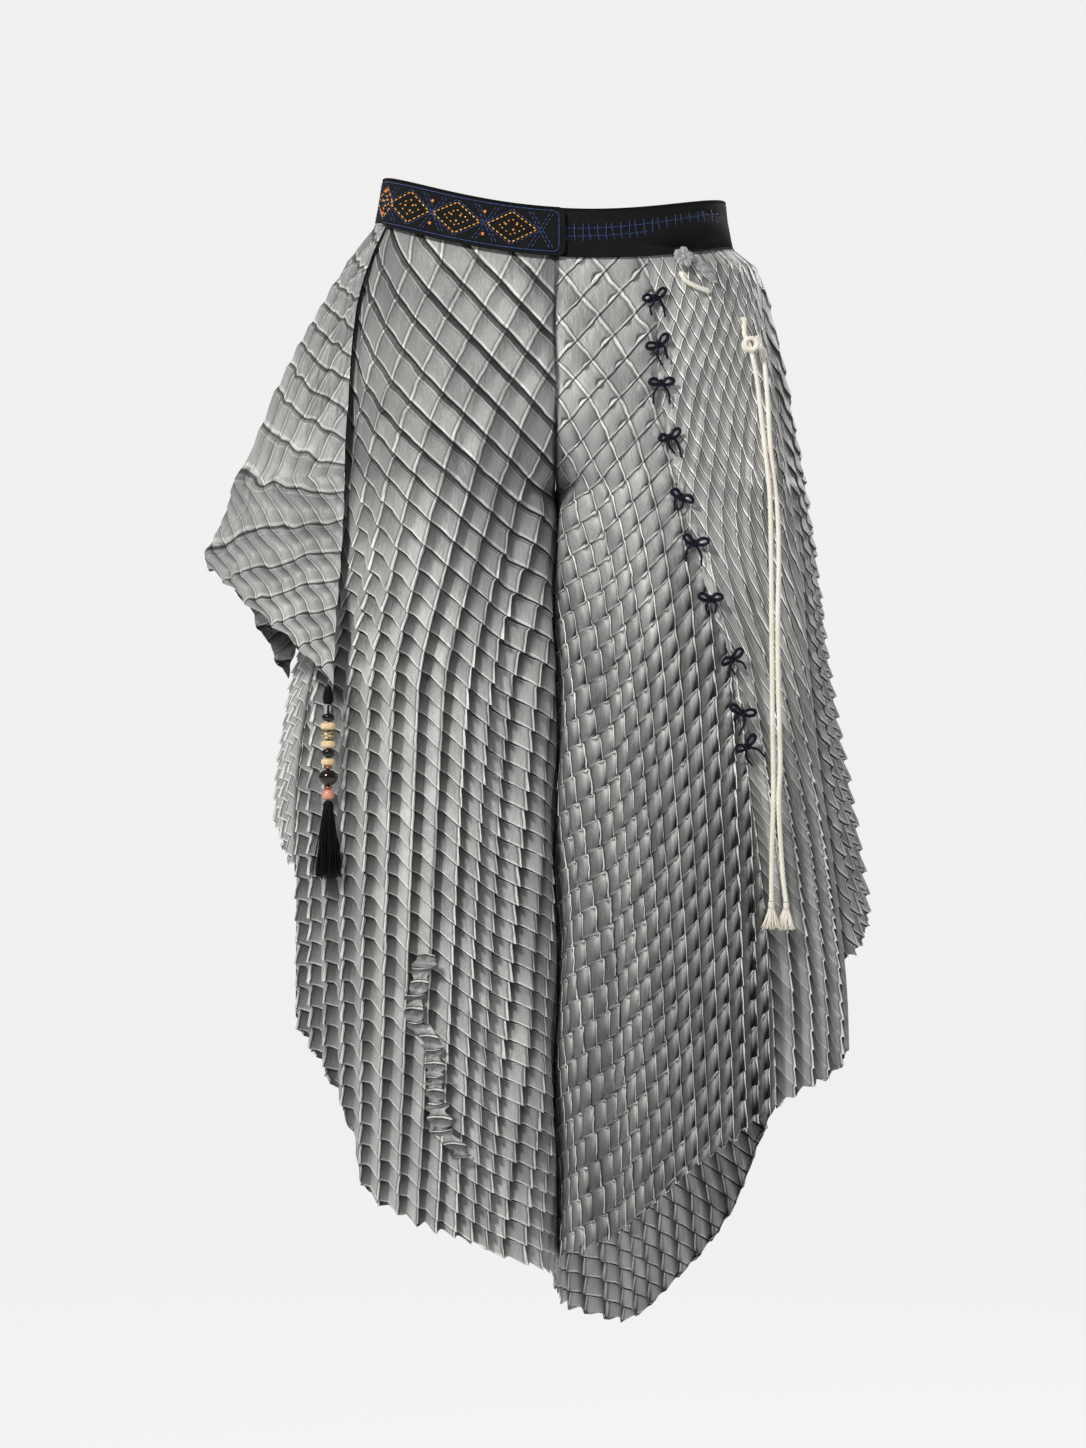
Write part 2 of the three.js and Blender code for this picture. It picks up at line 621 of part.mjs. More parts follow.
// A ribbon bow in its own plane: two loops, two tails and a knot, and the ribbon's way into the
// seam, which lies lift below that plane.
const BOW_LOOP = 10;
const BOW_TAIL = 9;
const RIBBON = 1.25;
const BOW_SEAT = 0.7; // the ribbon enters the seam this far over the middle surface
function bowSolid(lift) {
  const point = (x, y, z) => new THREE.Vector3(x, y, z);
  const loop = (side) => [
    point(0, 0, 1.4),
    point(side * BOW_LOOP * 0.6, BOW_LOOP * 0.45, 2.2),
    point(side * BOW_LOOP, BOW_LOOP * 0.38, 2.4),
    point(side * BOW_LOOP * 0.98, BOW_LOOP * 0.06, 2.2),
    point(side * BOW_LOOP * 0.55, -BOW_LOOP * 0.04, 1.7),
    point(0, -0.4, 1.4),
  ];
  const tail = (side) => [
    point(0, 0, 1.4),
    point(side * BOW_TAIL * 0.4, -BOW_TAIL * 0.5, 1.8),
    point(side * BOW_TAIL * 0.75, -BOW_TAIL, 1.6),
  ];
  const pieces = [-1, 1].flatMap((side) => [
    tube(loop(side), RIBBON, 3, 6),
    tube(tail(side), RIBBON * 0.9, 3, 2),
  ]);
  const knot = new THREE.IcosahedronGeometry(2.5, 0);
  knot.translate(0, 0, 1.9);
  const stem = new THREE.CylinderGeometry(1.2, 1.2, lift + 1.9 - BOW_SEAT, 6);
  stem.rotateX(Math.PI / 2).translate(0, 0, (1.9 - lift + BOW_SEAT) / 2);
  return joined([knot, stem, ...pieces]);
}

// Moves a solid made round the origin to a place on a leg, its Z out of the cloth.
function seat(geometry, leg, at, z, out, turn) {
  const normal = legNormal(leg, at, z);
  const level = new THREE.Vector3(0, 0, 1).cross(normal).normalize();
  const up = normal.clone().cross(level);
  const frame = new THREE.Matrix4().makeBasis(level, up, normal);
  frame.setPosition(legPoint(leg, at, z).addScaledVector(normal, out));
  return geometry.clone().rotateZ(turn).applyMatrix4(frame);
}

bows.forEach(({ z, turn }, k) => {
  const name = "bow_" + String(k + 1).padStart(2, "0");
  const out = 2.6 + 0.5 * read(pleatDepth, "z", "depth", z);
  add(name, seat(bowSolid(out), left, laced(z), z, out, turn), ribbon);
});

// The cloth rosette under the waistband, and the crepe leaf beside it.
function rosette() {
  const petals = 5;
  const points = [];
  for (let k = 0; k < petals * 6; k++) {
    const angle = (TURN * k) / (petals * 6);
    const reach = 7.6 + 1.8 * Math.abs(Math.cos((petals * angle) / 2));
    points.push(new THREE.Vector2(reach * Math.cos(angle), reach * Math.sin(angle)));
  }
  const shape = new THREE.Shape(points);
  const bevel = { bevelSize: 0.8, bevelThickness: 0.9, bevelSegments: 1 };
  const disc = new THREE.ExtrudeGeometry(shape, { depth: 1.6, bevelEnabled: true, ...bevel });
  add("rosette", seat(mergeVertices(stripped(disc)), left, 0.272, -21, 4.1, 0.2), taffeta);
}

function stripped(geometry) {
  const bare = geometry.clone();
  bare.deleteAttribute("normal");
  bare.deleteAttribute("uv");
  return bare;
}

function leaf() {
  const columns = 4;
  const rows = 5;
  const surface = (i, j, deep) => {
    const along = j / rows;
    const width = 0.024 * Math.sqrt(Math.max(0.12, Math.sin(Math.PI * (0.12 + 0.8 * along))));
    const at = 0.292 + 0.026 * along + width * (i / columns - 0.5);
    const z = -18 - 23 * along;
    return legPoint(left, at, z).addScaledVector(legNormal(left, at, z), 2.6 - deep);
  };
  const outer = (i, j) => surface(i, j, 0);
  const inner = (i, j) => surface(i, j, 1.4);
  add("rosette_leaf", wallSolid(columns, rows, outer, inner), taffeta);
}
rosette();
leaf();

// The cotton cord: a short loop under the rosette, two strands, their knot and frayed ends.
const route = (rows) =>
  rows.map(({ at, z, out }) =>
    legPoint(left, at, z).addScaledVector(legNormal(left, at, z), out),
  );
const routeA = route(strandA);
const routeB = route(strandB);
add("cord_loop", tube(route(loopCord), CORD / 2, 8, 6), cotton);
add("cord_strand_a", tube(routeA, CORD / 2, 8, 42), cotton);
add("cord_strand_b", tube(routeB, CORD / 2, 8, 40), cotton);

function cordKnot() {
  const ring = [
    [CORD / 2 + 0.6, -3.2],
    [5.6, -2.6],
    [6.8, 0],
    [5.6, 2.6],
    [CORD / 2 + 0.6, 3.2],
    [CORD / 2 + 0.6, -3.2],
  ].map(([r, y]) => new THREE.Vector2(r, y));
  const knot = new THREE.LatheGeometry(ring, 14);
  const along = routeA[KNOT_POINT + 1].clone().sub(routeA[KNOT_POINT - 1]).normalize();
  const turn = new THREE.Quaternion().setFromUnitVectors(new THREE.Vector3(0, 1, 0), along);
  knot.applyQuaternion(turn).translate(...routeA[KNOT_POINT].toArray());
  return mergeVertices(stripped(knot), 1e-3);
}

// Strands hanging from a small head: rings of thin three-sided spikes under a disc.
function strands({ head, headHeight, length, spread, rings, thickness }) {
  const pieces = [];
  const cap = new THREE.CylinderGeometry(head * 0.75, head, headHeight, 8);
  cap.rotateX(Math.PI / 2).translate(0, 0, -headHeight / 2);
  pieces.push(cap);
  rings.forEach(({ radius, count }) => {
    for (let k = 0; k < count; k++) {
      const angle = (TURN * (k + radius)) / count;
      const top = new THREE.Vector3(Math.cos(angle), Math.sin(angle), 0).multiplyScalar(radius * head);
      top.z = -headHeight * 0.7;
      const end = top.clone().multiplyScalar(spread);
      end.z = -length * (1 - 0.05 * Math.cos(7 * k + radius * 5));
      const strand = new THREE.CylinderGeometry(thickness, thickness * 0.7, 1, 3, 1);
      strand.translate(0, -0.5, 0);
      const reach = end.clone().sub(top);
      strand.scale(1, reach.length(), 1);
      const down = new THREE.Vector3(0, -1, 0);
      strand.applyQuaternion(new THREE.Quaternion().setFromUnitVectors(down, reach.normalize()));
      pieces.push(strand.translate(...top.toArray()));
    }
  });
  return joined(pieces);
}

add("cord_knot", facingOut(cordKnot()), cotton);
const frayed = {
  head: 3.1,
  headHeight: 4,
  length: 20,
  spread: 2.2,
  rings: [
    { radius: 0.78, count: 9 },
    { radius: 0.3, count: 4 },
  ],
  thickness: 0.8,
};
[
  ["cord_end_a", routeA],
  ["cord_end_b", routeB],
].forEach(([name, points]) => {
  const { x, y, z } = points[points.length - 1];
  add(name, strands(frayed).translate(x, y, z - 2 * SEAM_GAP), cotton);
});

// The beaded tassel under the flap's front corner: a knot, a thread, the beads and the fringe.
const THREAD = 0.9;
const KNOT_HEIGHT = 17;
const THREAD_GAP = 7;
function threadKnot() {
  const outline = [
    [0, 0],
    [1.6, -1],
    [2.6, -4],
    [4.2, -12],
    [3.4, -16],
    [0, -KNOT_HEIGHT],
  ].map(([r, y]) => new THREE.Vector2(r, y));
  return mergeVertices(stripped(new THREE.LatheGeometry(outline, 10).rotateX(Math.PI / 2)), 1e-3);
}

function beadSolid(radius, height) {
  const bore = THREAD + SEAM_GAP;
  const half = height / 2;
  const outline = [
    [bore, -half],
    [radius * 0.66, -half],
    [radius, -half * 0.4],
    [radius, half * 0.4],
    [radius * 0.66, half],
    [bore, half],
    [bore, -half],
  ].map(([r, y]) => new THREE.Vector2(r, y));
  return mergeVertices(stripped(new THREE.LatheGeometry(outline, 10).rotateX(Math.PI / 2)), 1e-3);
}

function beadedTassel() {
  const hem = flapHem[0].z;
  const corner = flapPoint(0.04, hem).addScaledVector(flapNormal(0, hem), FLAP_WAVE_DEPTH - WALL / 2);
  const at = (geometry, z) => facingOut(geometry).translate(corner.x, corner.y, z);
  const top = hem - SEAM_GAP;
  add("tassel_knot", at(threadKnot(), top), blackThread);
  const threadTop = top - KNOT_HEIGHT - SEAM_GAP;
  let z = threadTop - THREAD_GAP;
  beads.forEach(({ name, radius, height, colour }) => {
    const bead = at(beadSolid(radius, height), z - height / 2);
    const finish = new THREE.MeshStandardMaterial({ color: colour, roughness: 0.3, metalness: 0 });
    add(name, bead, finish);
    z -= height + SEAM_GAP;
  });
  const length = threadTop - z;
  const thread = new THREE.CylinderGeometry(THREAD, THREAD, length, 8).rotateX(Math.PI / 2);
  thread.translate(corner.x, corner.y, threadTop - length / 2);
  add("tassel_thread", mergeVertices(stripped(thread), 1e-3), blackThread);
  const fringe = {
    head: 4.6,
    headHeight: 7,
    length: 64,
    spread: 2.5,
    rings: [
      { radius: 0.82, count: 18 },
      { radius: 0.5, count: 10 },
      { radius: 0.2, count: 4 },
    ],
    thickness: 0.7,
  };
  add("tassel_fringe", strands(fringe).translate(corner.x, corner.y, z - SEAM_GAP), blackThread);
}
beadedTassel();

export default trousers;
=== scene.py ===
import math
import bpy
import numpy as np
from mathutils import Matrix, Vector


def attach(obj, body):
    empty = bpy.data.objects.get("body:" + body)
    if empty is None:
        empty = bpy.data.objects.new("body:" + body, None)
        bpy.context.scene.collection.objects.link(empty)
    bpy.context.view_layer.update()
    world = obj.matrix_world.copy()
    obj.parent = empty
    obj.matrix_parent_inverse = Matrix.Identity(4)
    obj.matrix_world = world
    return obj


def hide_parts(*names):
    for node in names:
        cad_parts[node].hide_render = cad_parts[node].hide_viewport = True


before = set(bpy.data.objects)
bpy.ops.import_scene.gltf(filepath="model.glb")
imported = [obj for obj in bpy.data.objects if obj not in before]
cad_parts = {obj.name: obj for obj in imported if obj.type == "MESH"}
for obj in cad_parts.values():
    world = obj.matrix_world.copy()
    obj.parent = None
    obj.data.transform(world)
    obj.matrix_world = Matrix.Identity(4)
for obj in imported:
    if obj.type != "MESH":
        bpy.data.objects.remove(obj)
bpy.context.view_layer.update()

MM = 0.001
TURN = 2 * math.pi
SEAM_Z, CROTCH_Z, CROTCH_RISE, CROTCH_BEND = -22.0, -220.0, 85.0, 1.8
BAND_HEIGHT, BAND_WALL, BAND_LAP, BAND_SIDE, BAND_CORNER = 42.0, 2.5, 2.9, 0.46, 1.0
HALF_BAND = BAND_HEIGHT / 2
HALF_WAIST = 470
BAND_GAP = 0.02 / HALF_WAIST
LAP_SHARE = 7.0 / 460
CORD, CORD_PITCH, GROOVE = 4.0, 13, 0.2


def curve_at(x, y, at):
    """A smooth curve through points, which never swings past them. Where y has more than one
    dimension, each place reads a row of its own."""
    x, y = np.asarray(x, float), np.asarray(y, float)
    slope = np.diff(y) / np.diff(x)
    before, after = slope[..., :-1], slope[..., 1:]
    total = np.where(before * after > 0, before + after, 1)
    inner = np.where(before * after > 0, 2 * before * after / total, 0)
    tangent = np.concatenate([slope[..., :1], inner, slope[..., -1:]], -1)
    at = np.clip(at, x[0], x[-1])
    i = np.clip(np.searchsorted(x, at, side="right") - 1, 0, len(x) - 2)

    def pick(values, k):
        return values[k] if values.ndim == 1 else np.take_along_axis(values, k[..., None], -1)[..., 0]

    step = x[i + 1] - x[i]
    t = (at - x[i]) / step
    low, high = pick(y, i), pick(y, i + 1)
    bend = pick(tangent, i) * (1 - t) - pick(tangent, i + 1) * t
    return low + (high - low) * t * t * (3 - 2 * t) + step * t * (1 - t) * bend


class Table:
    """Rows of numbers under named columns, read as smooth curves along the first column."""

    def __init__(self, names, rows):
        columns = zip(*sorted(rows))
        self.data = {name: np.array(column, float) for name, column in zip(names.split(), columns)}
        self.first = names.split()[0]

    def read(self, name, at):
        return curve_at(self.data[self.first], self.data[name], at)


# The garment's forms, as in the part's source
RIGHT_ROWS = Table("z outer inner front back", [
    (70, 146, 0.2, 90, 90), (12, 156, 0.2, 94, 94), (-22, 167, 0.2, 97, 98),
    (-60, 175, 0.2, 104, 110), (-135, 185, 0.2, 115, 125), (-220, 194, 0.2, 126, 132),
    (-280, 204, 4.5, 132, 137), (-343, 218, 6, 139, 143), (-400, 232, 6.5, 144, 148),
    (-493, 242, 6.5, 151, 155), (-664, 243, 6.5, 163, 168), (-960, 249, 6.5, 176, 186)])
LEFT_ROWS = Table("z outer inner front back", [
    (70, 143, 0.2, 90, 90), (0, 150, 0.2, 94, 94), (-22, 175, 0.2, 97, 98),
    (-60, 187, 0.2, 104, 110), (-135, 203, 0.2, 115, 125), (-220, 217, 0.2, 126, 132),
    (-280, 226, 4.5, 132, 137), (-343, 233, 6, 139, 143), (-430, 246, 6.5, 146, 150),
    (-535, 264, 6.5, 154, 159), (-664, 278, 6.5, 163, 168), (-960, 283, 6.5, 176, 186)])
RIGHT_FRONT_HEM = Table("at z", [
    (0, -893), (0.095, -876), (0.17, -849), (0.235, -827), (0.29, -805), (0.306, -762),
    (0.33, -718), (0.357, -692), (0.4, -660)])
RIGHT_BACK_HEM = Table("at z", [
    (0.4, -542), (0.5, -493), (0.6, -560), (0.7, -650), (0.85, -790), (1, -850)])
LEFT_FRONT_HEM = Table("at z", [
    (0, -885), (0.108, -856), (0.16, -826), (0.222, -778), (0.284, -741), (0.326, -720),
    (0.36, -709), (0.4, -680)])
LEFT_BACK_HEM = Table("at z", [
    (0.4, -613), (0.5, -572), (0.55, -600), (0.6, -632), (0.65, -702), (0.7, -796),
    (0.73, -860), (0.78, -916), (0.846, -956), (0.93, -924), (1, -892)])
LACED_SEAM = Table("z at", [
    (0, 0.214), (-57, 0.216), (-99, 0.218), (-178, 0.234), (-266, 0.252), (-316, 0.266),
    (-363, 0.284), (-436, 0.29), (-960, 0.3)])
RIGHT_SIDE = Table("z at", [(0, 0.43), (-220, 0.4)])
LEFT_SIDE = Table("z at", [(0, 0.47), (-77, 0.42), (-280, 0.41), (-480, 0.39)])
PLEAT_DEPTH = Table("z depth", [
    (0, 0.4), (-60, 1.2), (-135, 2), (-220, 2.8), (-350, 4), (-500, 5), (-960, 5)])
FLAP_ROWS = Table("z edge_x edge_y fold_x fold_y back_x back_y", [
    (14, 145.5, -38, 156.5, -17, 157, 14), (-20, 161, -37, 182, -20, 174, 18),
    (-54, 171, -35, 202, -20, 182, 22), (-97, 176, -40, 226, -20, 189, 26),
    (-140, 178, -52, 247, -22, 195, 28), (-182, 180, -68, 265, -25, 201, 30),
    (-225, 180, -84, 284, -30, 206, 30), (-281, 182, -106, 301, -36, 216, 30),
    (-330, 184.5, -132, 302, -43, 224, 30), (-390, 186, -158, 300, -50, 238, 30)])
FLAP_HEM = Table("at z", [
    (0, -383), (0.3, -346), (0.5, -326), (0.96, -284), (1.06, -284), (1.3, -310),
    (1.6, -346), (2, -378)])
RUFFLE_ROWS = Table("z at", [
    (-608, 0.229), (-660, 0.242), (-682, 0.222), (-720, 0.22), (-752, 0.212), (-776, 0.186)])
BOWS = [(-57, 0.35), (-97, 0.5), (-130, 0), (-177, 0.3), (-227, -0.4), (-266, -0.15),
        (-313, 0.1), (-363, 0.45), (-408, -0.3), (-436, 0.6)]
STRAND_A = [
    (0.36, -70.5, 1), (0.3585, -71.5, 4.6), (0.352, -77, 7.2), (0.346, -86, 9.6),
    (0.35, -95, 10.6), (0.354, -104, 10.2), (0.36, -125, 8.5), (0.36, -158, 8),
    (0.358, -187, 8), (0.354, -225, 8), (0.342, -280, 8.4), (0.334, -334, 8.6),
    (0.322, -409, 9), (0.312, -473, 9.4), (0.302, -525, 10), (0.296, -565, 12)]
STRAND_B = [
    (0.371, -86, 9), (0.377, -105, 9.4), (0.369, -148, 12), (0.366, -187, 9), (0.36, -235, 10),
    (0.35, -280, 11), (0.338, -334, 12.8), (0.33, -388, 12.6), (0.322, -451, 11.6),
    (0.314, -483, 12.6), (0.31, -536, 12), (0.31, -566, 13)]
KNOT_POINT = 4
LOOP_CORD = [
    (0.264, -33.5, 1.6), (0.264, -35.5, 3.4), (0.268, -41, 4.2), (0.28, -45, 4.6),
    (0.294, -47.5, 4), (0.302, -48.3, 3.4), (0.304, -48.5, 1.7)]


class Leg:
    def __init__(self, side, rows):
        self.side, self.rows = side, rows


left, right = Leg(1, LEFT_ROWS), Leg(-1, RIGHT_ROWS)


def smooth(x, low, high):
    t = np.clip((x - low) / (high - low), 0, 1)
    return t * t * (3 - 2 * t)


def unit(v):
    return v / np.maximum(np.linalg.norm(v, axis=-1, keepdims=True), 1e-12)


def crotch_share(z):
    rise = np.clip((z - CROTCH_Z) / CROTCH_RISE, 0, 1)
    return (1 - rise * smooth(rise, -0.02, 0.22)) ** CROTCH_BEND


def ring_point(leg, share, z):
    outer = leg.rows.read("outer", z)
    depth = np.where(share < 0.5, leg.rows.read("front", z), leg.rows.read("back", z))
    angle = math.pi * share
    return np.stack([leg.side * outer * np.sin(angle), -depth * np.cos(angle), z], -1)


def ring_share(at, z):
    half = np.where(at < 0.5, at, 1 - at)
    bent = np.sign(half) * np.arcsin(np.sin(math.pi * half) ** 2) / math.pi
    bend = 0.8 + 0.18 * smooth(-z, 60, CROTCH_RISE - CROTCH_Z - 140)
    moved = half + (bent - half) * bend
    return np.where(at < 0.5, moved, 1 - moved)


def leg_point(leg, at, z):
    at, z = np.broadcast_arrays(np.asarray(at, float), np.asarray(z, float))
    outer, inner = leg.rows.read("outer", z), leg.rows.read("inner", z)
    depth = np.where(at < 0.5, leg.rows.read("front", z), leg.rows.read("back", z))
    x = (outer + inner) / 2 - (outer - inner) / 2 * np.cos(TURN * at)
    tube = np.stack([leg.side * x, -depth * np.sin(TURN * at), z], -1)
    share = crotch_share(z)[..., None]
    return ring_point(leg, ring_share(at, z), z) * (1 - share) + tube * share


def leg_normal(leg, at, z):
    across = leg_point(leg, at + 1e-3, z) - leg_point(leg, at - 1e-3, z)
    up = leg_point(leg, at, z + 1) - leg_point(leg, at, z - 1)
    return leg.side * unit(np.cross(across, up))


def speed(leg, at, z):
    return np.linalg.norm(leg_point(leg, at + 5e-4, z) - leg_point(leg, at - 5e-4, z), axis=-1) / 1e-3


def band_middle(leg, share):
    across, along = np.sin(math.pi * share), -np.cos(math.pi * share)
    return 26 * across**2 + 9 * (1 + along) * along**2 - 10 * leg.side * across


def out_of(leg, at, z, out):
    """A point so far out of a leg's cloth."""
    return leg_point(leg, at, z) + leg_normal(leg, at, z) * np.asarray(out, float)[..., None]


def run_along(points):
    """How far along a path, or along each row of a sheet, its points lie."""
    steps = np.linalg.norm(np.diff(points, axis=-2), axis=-1)
    return np.concatenate([0 * steps[..., :1], np.cumsum(steps, axis=-1)], -1)


def spline(points, count):
    """A smooth curve of evenly spaced points through a few, and its length."""
    points = np.asarray(points, float)
    ends = np.vstack([2 * points[0] - points[1], points, 2 * points[-1] - points[-2]])
    curve = []
    for a, b, c, d in zip(ends, ends[1:], ends[2:], ends[3:]):
        t = np.linspace(0, 1, 24, endpoint=False)[:, None]
        curve.append(0.5 * (2 * b + (c - a) * t + (2 * a - 5 * b + 4 * c - d) * t**2
                            + (3 * b - a - 3 * c + d) * t**3))
    curve = np.vstack(curve + [points[-1:]])
    run = run_along(curve)
    at = np.linspace(0, run[-1], count)
    return np.stack([np.interp(at, run, curve[:, k]) for k in range(3)], -1), run[-1]


def frames(points):
    """Two directions square to a path at each of its points, without twist."""
    ahead = unit(np.gradient(points, axis=0))
    side = np.cross(ahead[0], [0, 0, 1] if abs(ahead[0][2]) < 0.9 else [0, 1, 0])
    sides = []
    for direction in ahead:
        side = side - direction * np.dot(side, direction)
        side = side / np.linalg.norm(side)
        sides.append(side)
    sides = np.array(sides)
    return sides, np.cross(ahead, sides)


class Shape:
    """Points and faces gathered for one mesh; each part may carry its own material number."""

    def __init__(self):
        self.points, self.faces, self.slots, self.count = [], [], [], 0
        self.pleats = None

    def add(self, faces, slot):
        self.faces.append(faces)
        self.slots.append(np.full(len(faces), slot, int))

    def grid(self, points, closed=False, slot=0, keep=None):
        """A sheet from points in rows and columns; keep says which of its quads stay."""
        rows, columns = points.shape[:2]
        index = np.arange(self.count, self.count + rows * columns).reshape(rows, columns)
        if closed:
            index = np.concatenate([index, index[:, :1]], 1)
        quads = np.stack([index[:-1, :-1], index[:-1, 1:], index[1:, 1:], index[1:, :-1]], -1)
        quads = quads.reshape(-1, 4)
        self.add(quads if keep is None else quads[keep.ravel()], slot)
        self.points.append(points.reshape(-1, 3))
        self.count += rows * columns

    def cap(self, rows, columns, slot=0):
        """Closes both ends of the closed sheet that was added last."""
        index = np.arange(self.count - rows * columns, self.count).reshape(rows, columns)
        self.add(index[:1, ::-1], slot)
        self.add(index[-1:], slot)

    def tube(self, points, radius, sides, slot=0, lobes=0, pitch=1.0, caps=True):
        """A tube along points, twisted of so many lobes if any are given."""
        points = np.asarray(points, float)
        across, over = frames(points)
        angle = np.linspace(0, TURN, sides, endpoint=False)[None, :]
        radius = np.broadcast_to(np.asarray(radius, float), (len(points),))[:, None]
        if lobes:
            turned = lobes * (angle - TURN * run_along(points)[:, None] / pitch) / 2
            radius = radius * (1 - GROOVE * (1 - np.abs(np.sin(turned))) ** 1.5)
        ring = (points[:, None] + radius[..., None] * np.cos(angle)[..., None] * across[:, None]
                + radius[..., None] * np.sin(angle)[..., None] * over[:, None])
        self.grid(ring, closed=True, slot=slot)
        if caps:
            self.cap(len(points), sides, slot)

    def lathe(self, outline, centre, sides):
        """A form turned about an upright line: outline holds (radius, height) pairs from centre."""
        angle = np.linspace(0, TURN, sides, endpoint=False)
        ring = np.stack([-np.cos(angle), -np.sin(angle), 0 * angle], -1)
        self.grid(np.array([centre + ring * radius + (0, 0, height) for radius, height in outline]),
                  closed=True)

    def ball(self, centre, radii, axes, sides=12):
        """A ball with its own three radii along three directions."""
        polar = np.linspace(0.02, math.pi - 0.02, 8)[:, None]
        angle = np.linspace(0, TURN, sides, endpoint=False)[None, :]
        local = np.stack([np.sin(polar) * np.cos(angle), np.sin(polar) * np.sin(angle),
                          np.cos(polar) + 0 * angle], -1) * np.array(radii)
        self.grid(centre + local @ axes, closed=True)

    def make(self, name, materials, slot_name, nodes=(), angle=0):
        """The Blender object, in metres, riding on the garment. Edges over the angle stay sharp."""
        points = np.vstack(self.points) * MM
        mesh = bpy.data.meshes.new(name)
        mesh.vertices.add(len(points))
        mesh.vertices.foreach_set("co", points.astype(np.float32).ravel())
        totals = np.concatenate([np.full(len(f), f.shape[1], int) for f in self.faces])
        starts = np.concatenate([[0], np.cumsum(totals)[:-1]])
        loops = np.concatenate([f.ravel() for f in self.faces])
        mesh.loops.add(len(loops))
        mesh.loops.foreach_set("vertex_index", loops.astype(np.int32))
        mesh.polygons.add(len(totals))
        mesh.polygons.foreach_set("loop_start", starts.astype(np.int32))
        mesh.polygons.foreach_set("material_index", np.concatenate(self.slots).astype(np.int32))
        mesh.polygons.foreach_set("use_smooth", np.full(len(totals), True))
        mesh.update(calc_edges=True)
        mesh.validate()
        if self.pleats is not None:
            layer = mesh.uv_layers.new(name="pleats")
            corner = np.empty(len(mesh.loops), np.int32)
            mesh.loops.foreach_get("vertex_index", corner)
            counts = self.pleats.reshape(-1, 2)[corner]
            layer.data.foreach_set("uv", counts.astype(np.float32).ravel())
        for material in materials if isinstance(materials, tuple) else (materials,):
            mesh.materials.append(material)
        if angle:
            mesh.set_sharp_from_angle(angle=math.radians(angle))
        piece = bpy.data.objects.new(name, mesh)
        bpy.context.scene.collection.objects.link(piece)
        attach(piece, "root")
        if nodes:
            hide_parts(*nodes)
        return piece


def hoop(x, y, z, radius, count, tilt=0.0, phase=0):
    """Points of a ring of thread about an upright line, level or a little tilted."""
    return [(x + radius * math.cos(t), y + radius * math.sin(t), z + tilt * math.sin(t + phase))
            for t in np.linspace(0, TURN, count)]


def yarn(shape, start, away, bend, spread, drop, radii, sides):
    """A loose yarn that hangs from start and goes outward, down and aside in three steps."""
    path = [start]
    for wide, fall, share in zip(spread, drop, (0, 1, 1.6)):
        path.append(start + away * wide + bend * share + (0, 0, -fall))
    curve, _ = spline(path, len(radii))
    shape.tube(curve, radii, sides)


# Camera, floor and light
def camera():
    data = bpy.data.cameras.new("camera")
    data.lens, data.sensor_width, data.clip_end = 100, 36, 50
    view = bpy.data.objects.new("camera", data)
    view.location = (-0.011, -3.5, -0.4165)
    view.rotation_euler = (math.pi / 2, 0, 0)
    bpy.context.scene.collection.objects.link(view)
    bpy.context.scene.camera = view


def aimed(name, energy, size, place, target, colour):
    data = bpy.data.lights.new(name, "AREA")
    data.energy, data.size, data.color = energy, size, colour
    lamp = bpy.data.objects.new(name, data)
    lamp.location = place
    lamp.rotation_euler = (Vector(target) - Vector(place)).to_track_quat("-Z", "Y").to_euler()
    bpy.context.scene.collection.objects.link(lamp)


def plain(name, colour, glow):
    material = bpy.data.materials.new(name)
    material.use_nodes = True
    shader = material.node_tree.nodes["Principled BSDF"]
    shader.inputs["Base Color"].default_value = (*colour, 1)
    shader.inputs["Roughness"].default_value = 1
    shader.inputs["Specular IOR Level"].default_value = 0
    shader.inputs["Emission Color"].default_value = (1, 1, 1, 1)
    shader.inputs["Emission Strength"].default_value = glow
    return material


def studio():
    world = bpy.data.worlds.new("studio")
    world.use_nodes = True
    tree = world.node_tree
    seen = tree.nodes.new("ShaderNodeMapRange")
    seen.inputs["To Min"].default_value = 0.2
    seen.inputs["To Max"].default_value = 1
    tree.links.new(tree.nodes.new("ShaderNodeLightPath").outputs["Is Camera Ray"], seen.inputs["Value"])
    tree.nodes["Background"].inputs["Color"].default_value = (0.875, 0.875, 0.87, 1)
    tree.links.new(seen.outputs["Result"], tree.nodes["Background"].inputs["Strength"])
    bpy.context.scene.world = world
    mesh = bpy.data.meshes.new("floor")
    far = 14
    low = -1.6
    mesh.from_pydata([(-far, -far, low), (far, -far, low), (far, far, low), (-far, far, low)], [],
                     [(0, 1, 2, 3)])
    mesh.materials.append(plain("floor_paint", (0.12, 0.12, 0.12), 0.85))
    floor = bpy.data.objects.new("floor", mesh)
    bpy.context.scene.collection.objects.link(floor)
    aimed("key", 80, 0.5, (-1.35, -2.1, 1.6), (0, 0, -0.4), (1, 0.99, 0.97))
    aimed("back_key", 60, 0.9, (2.2, 2.6, 1.4), (0, 0, -0.45), (1, 0.99, 0.97))
    bpy.context.scene.view_settings.view_transform = "Standard"


camera()
studio()


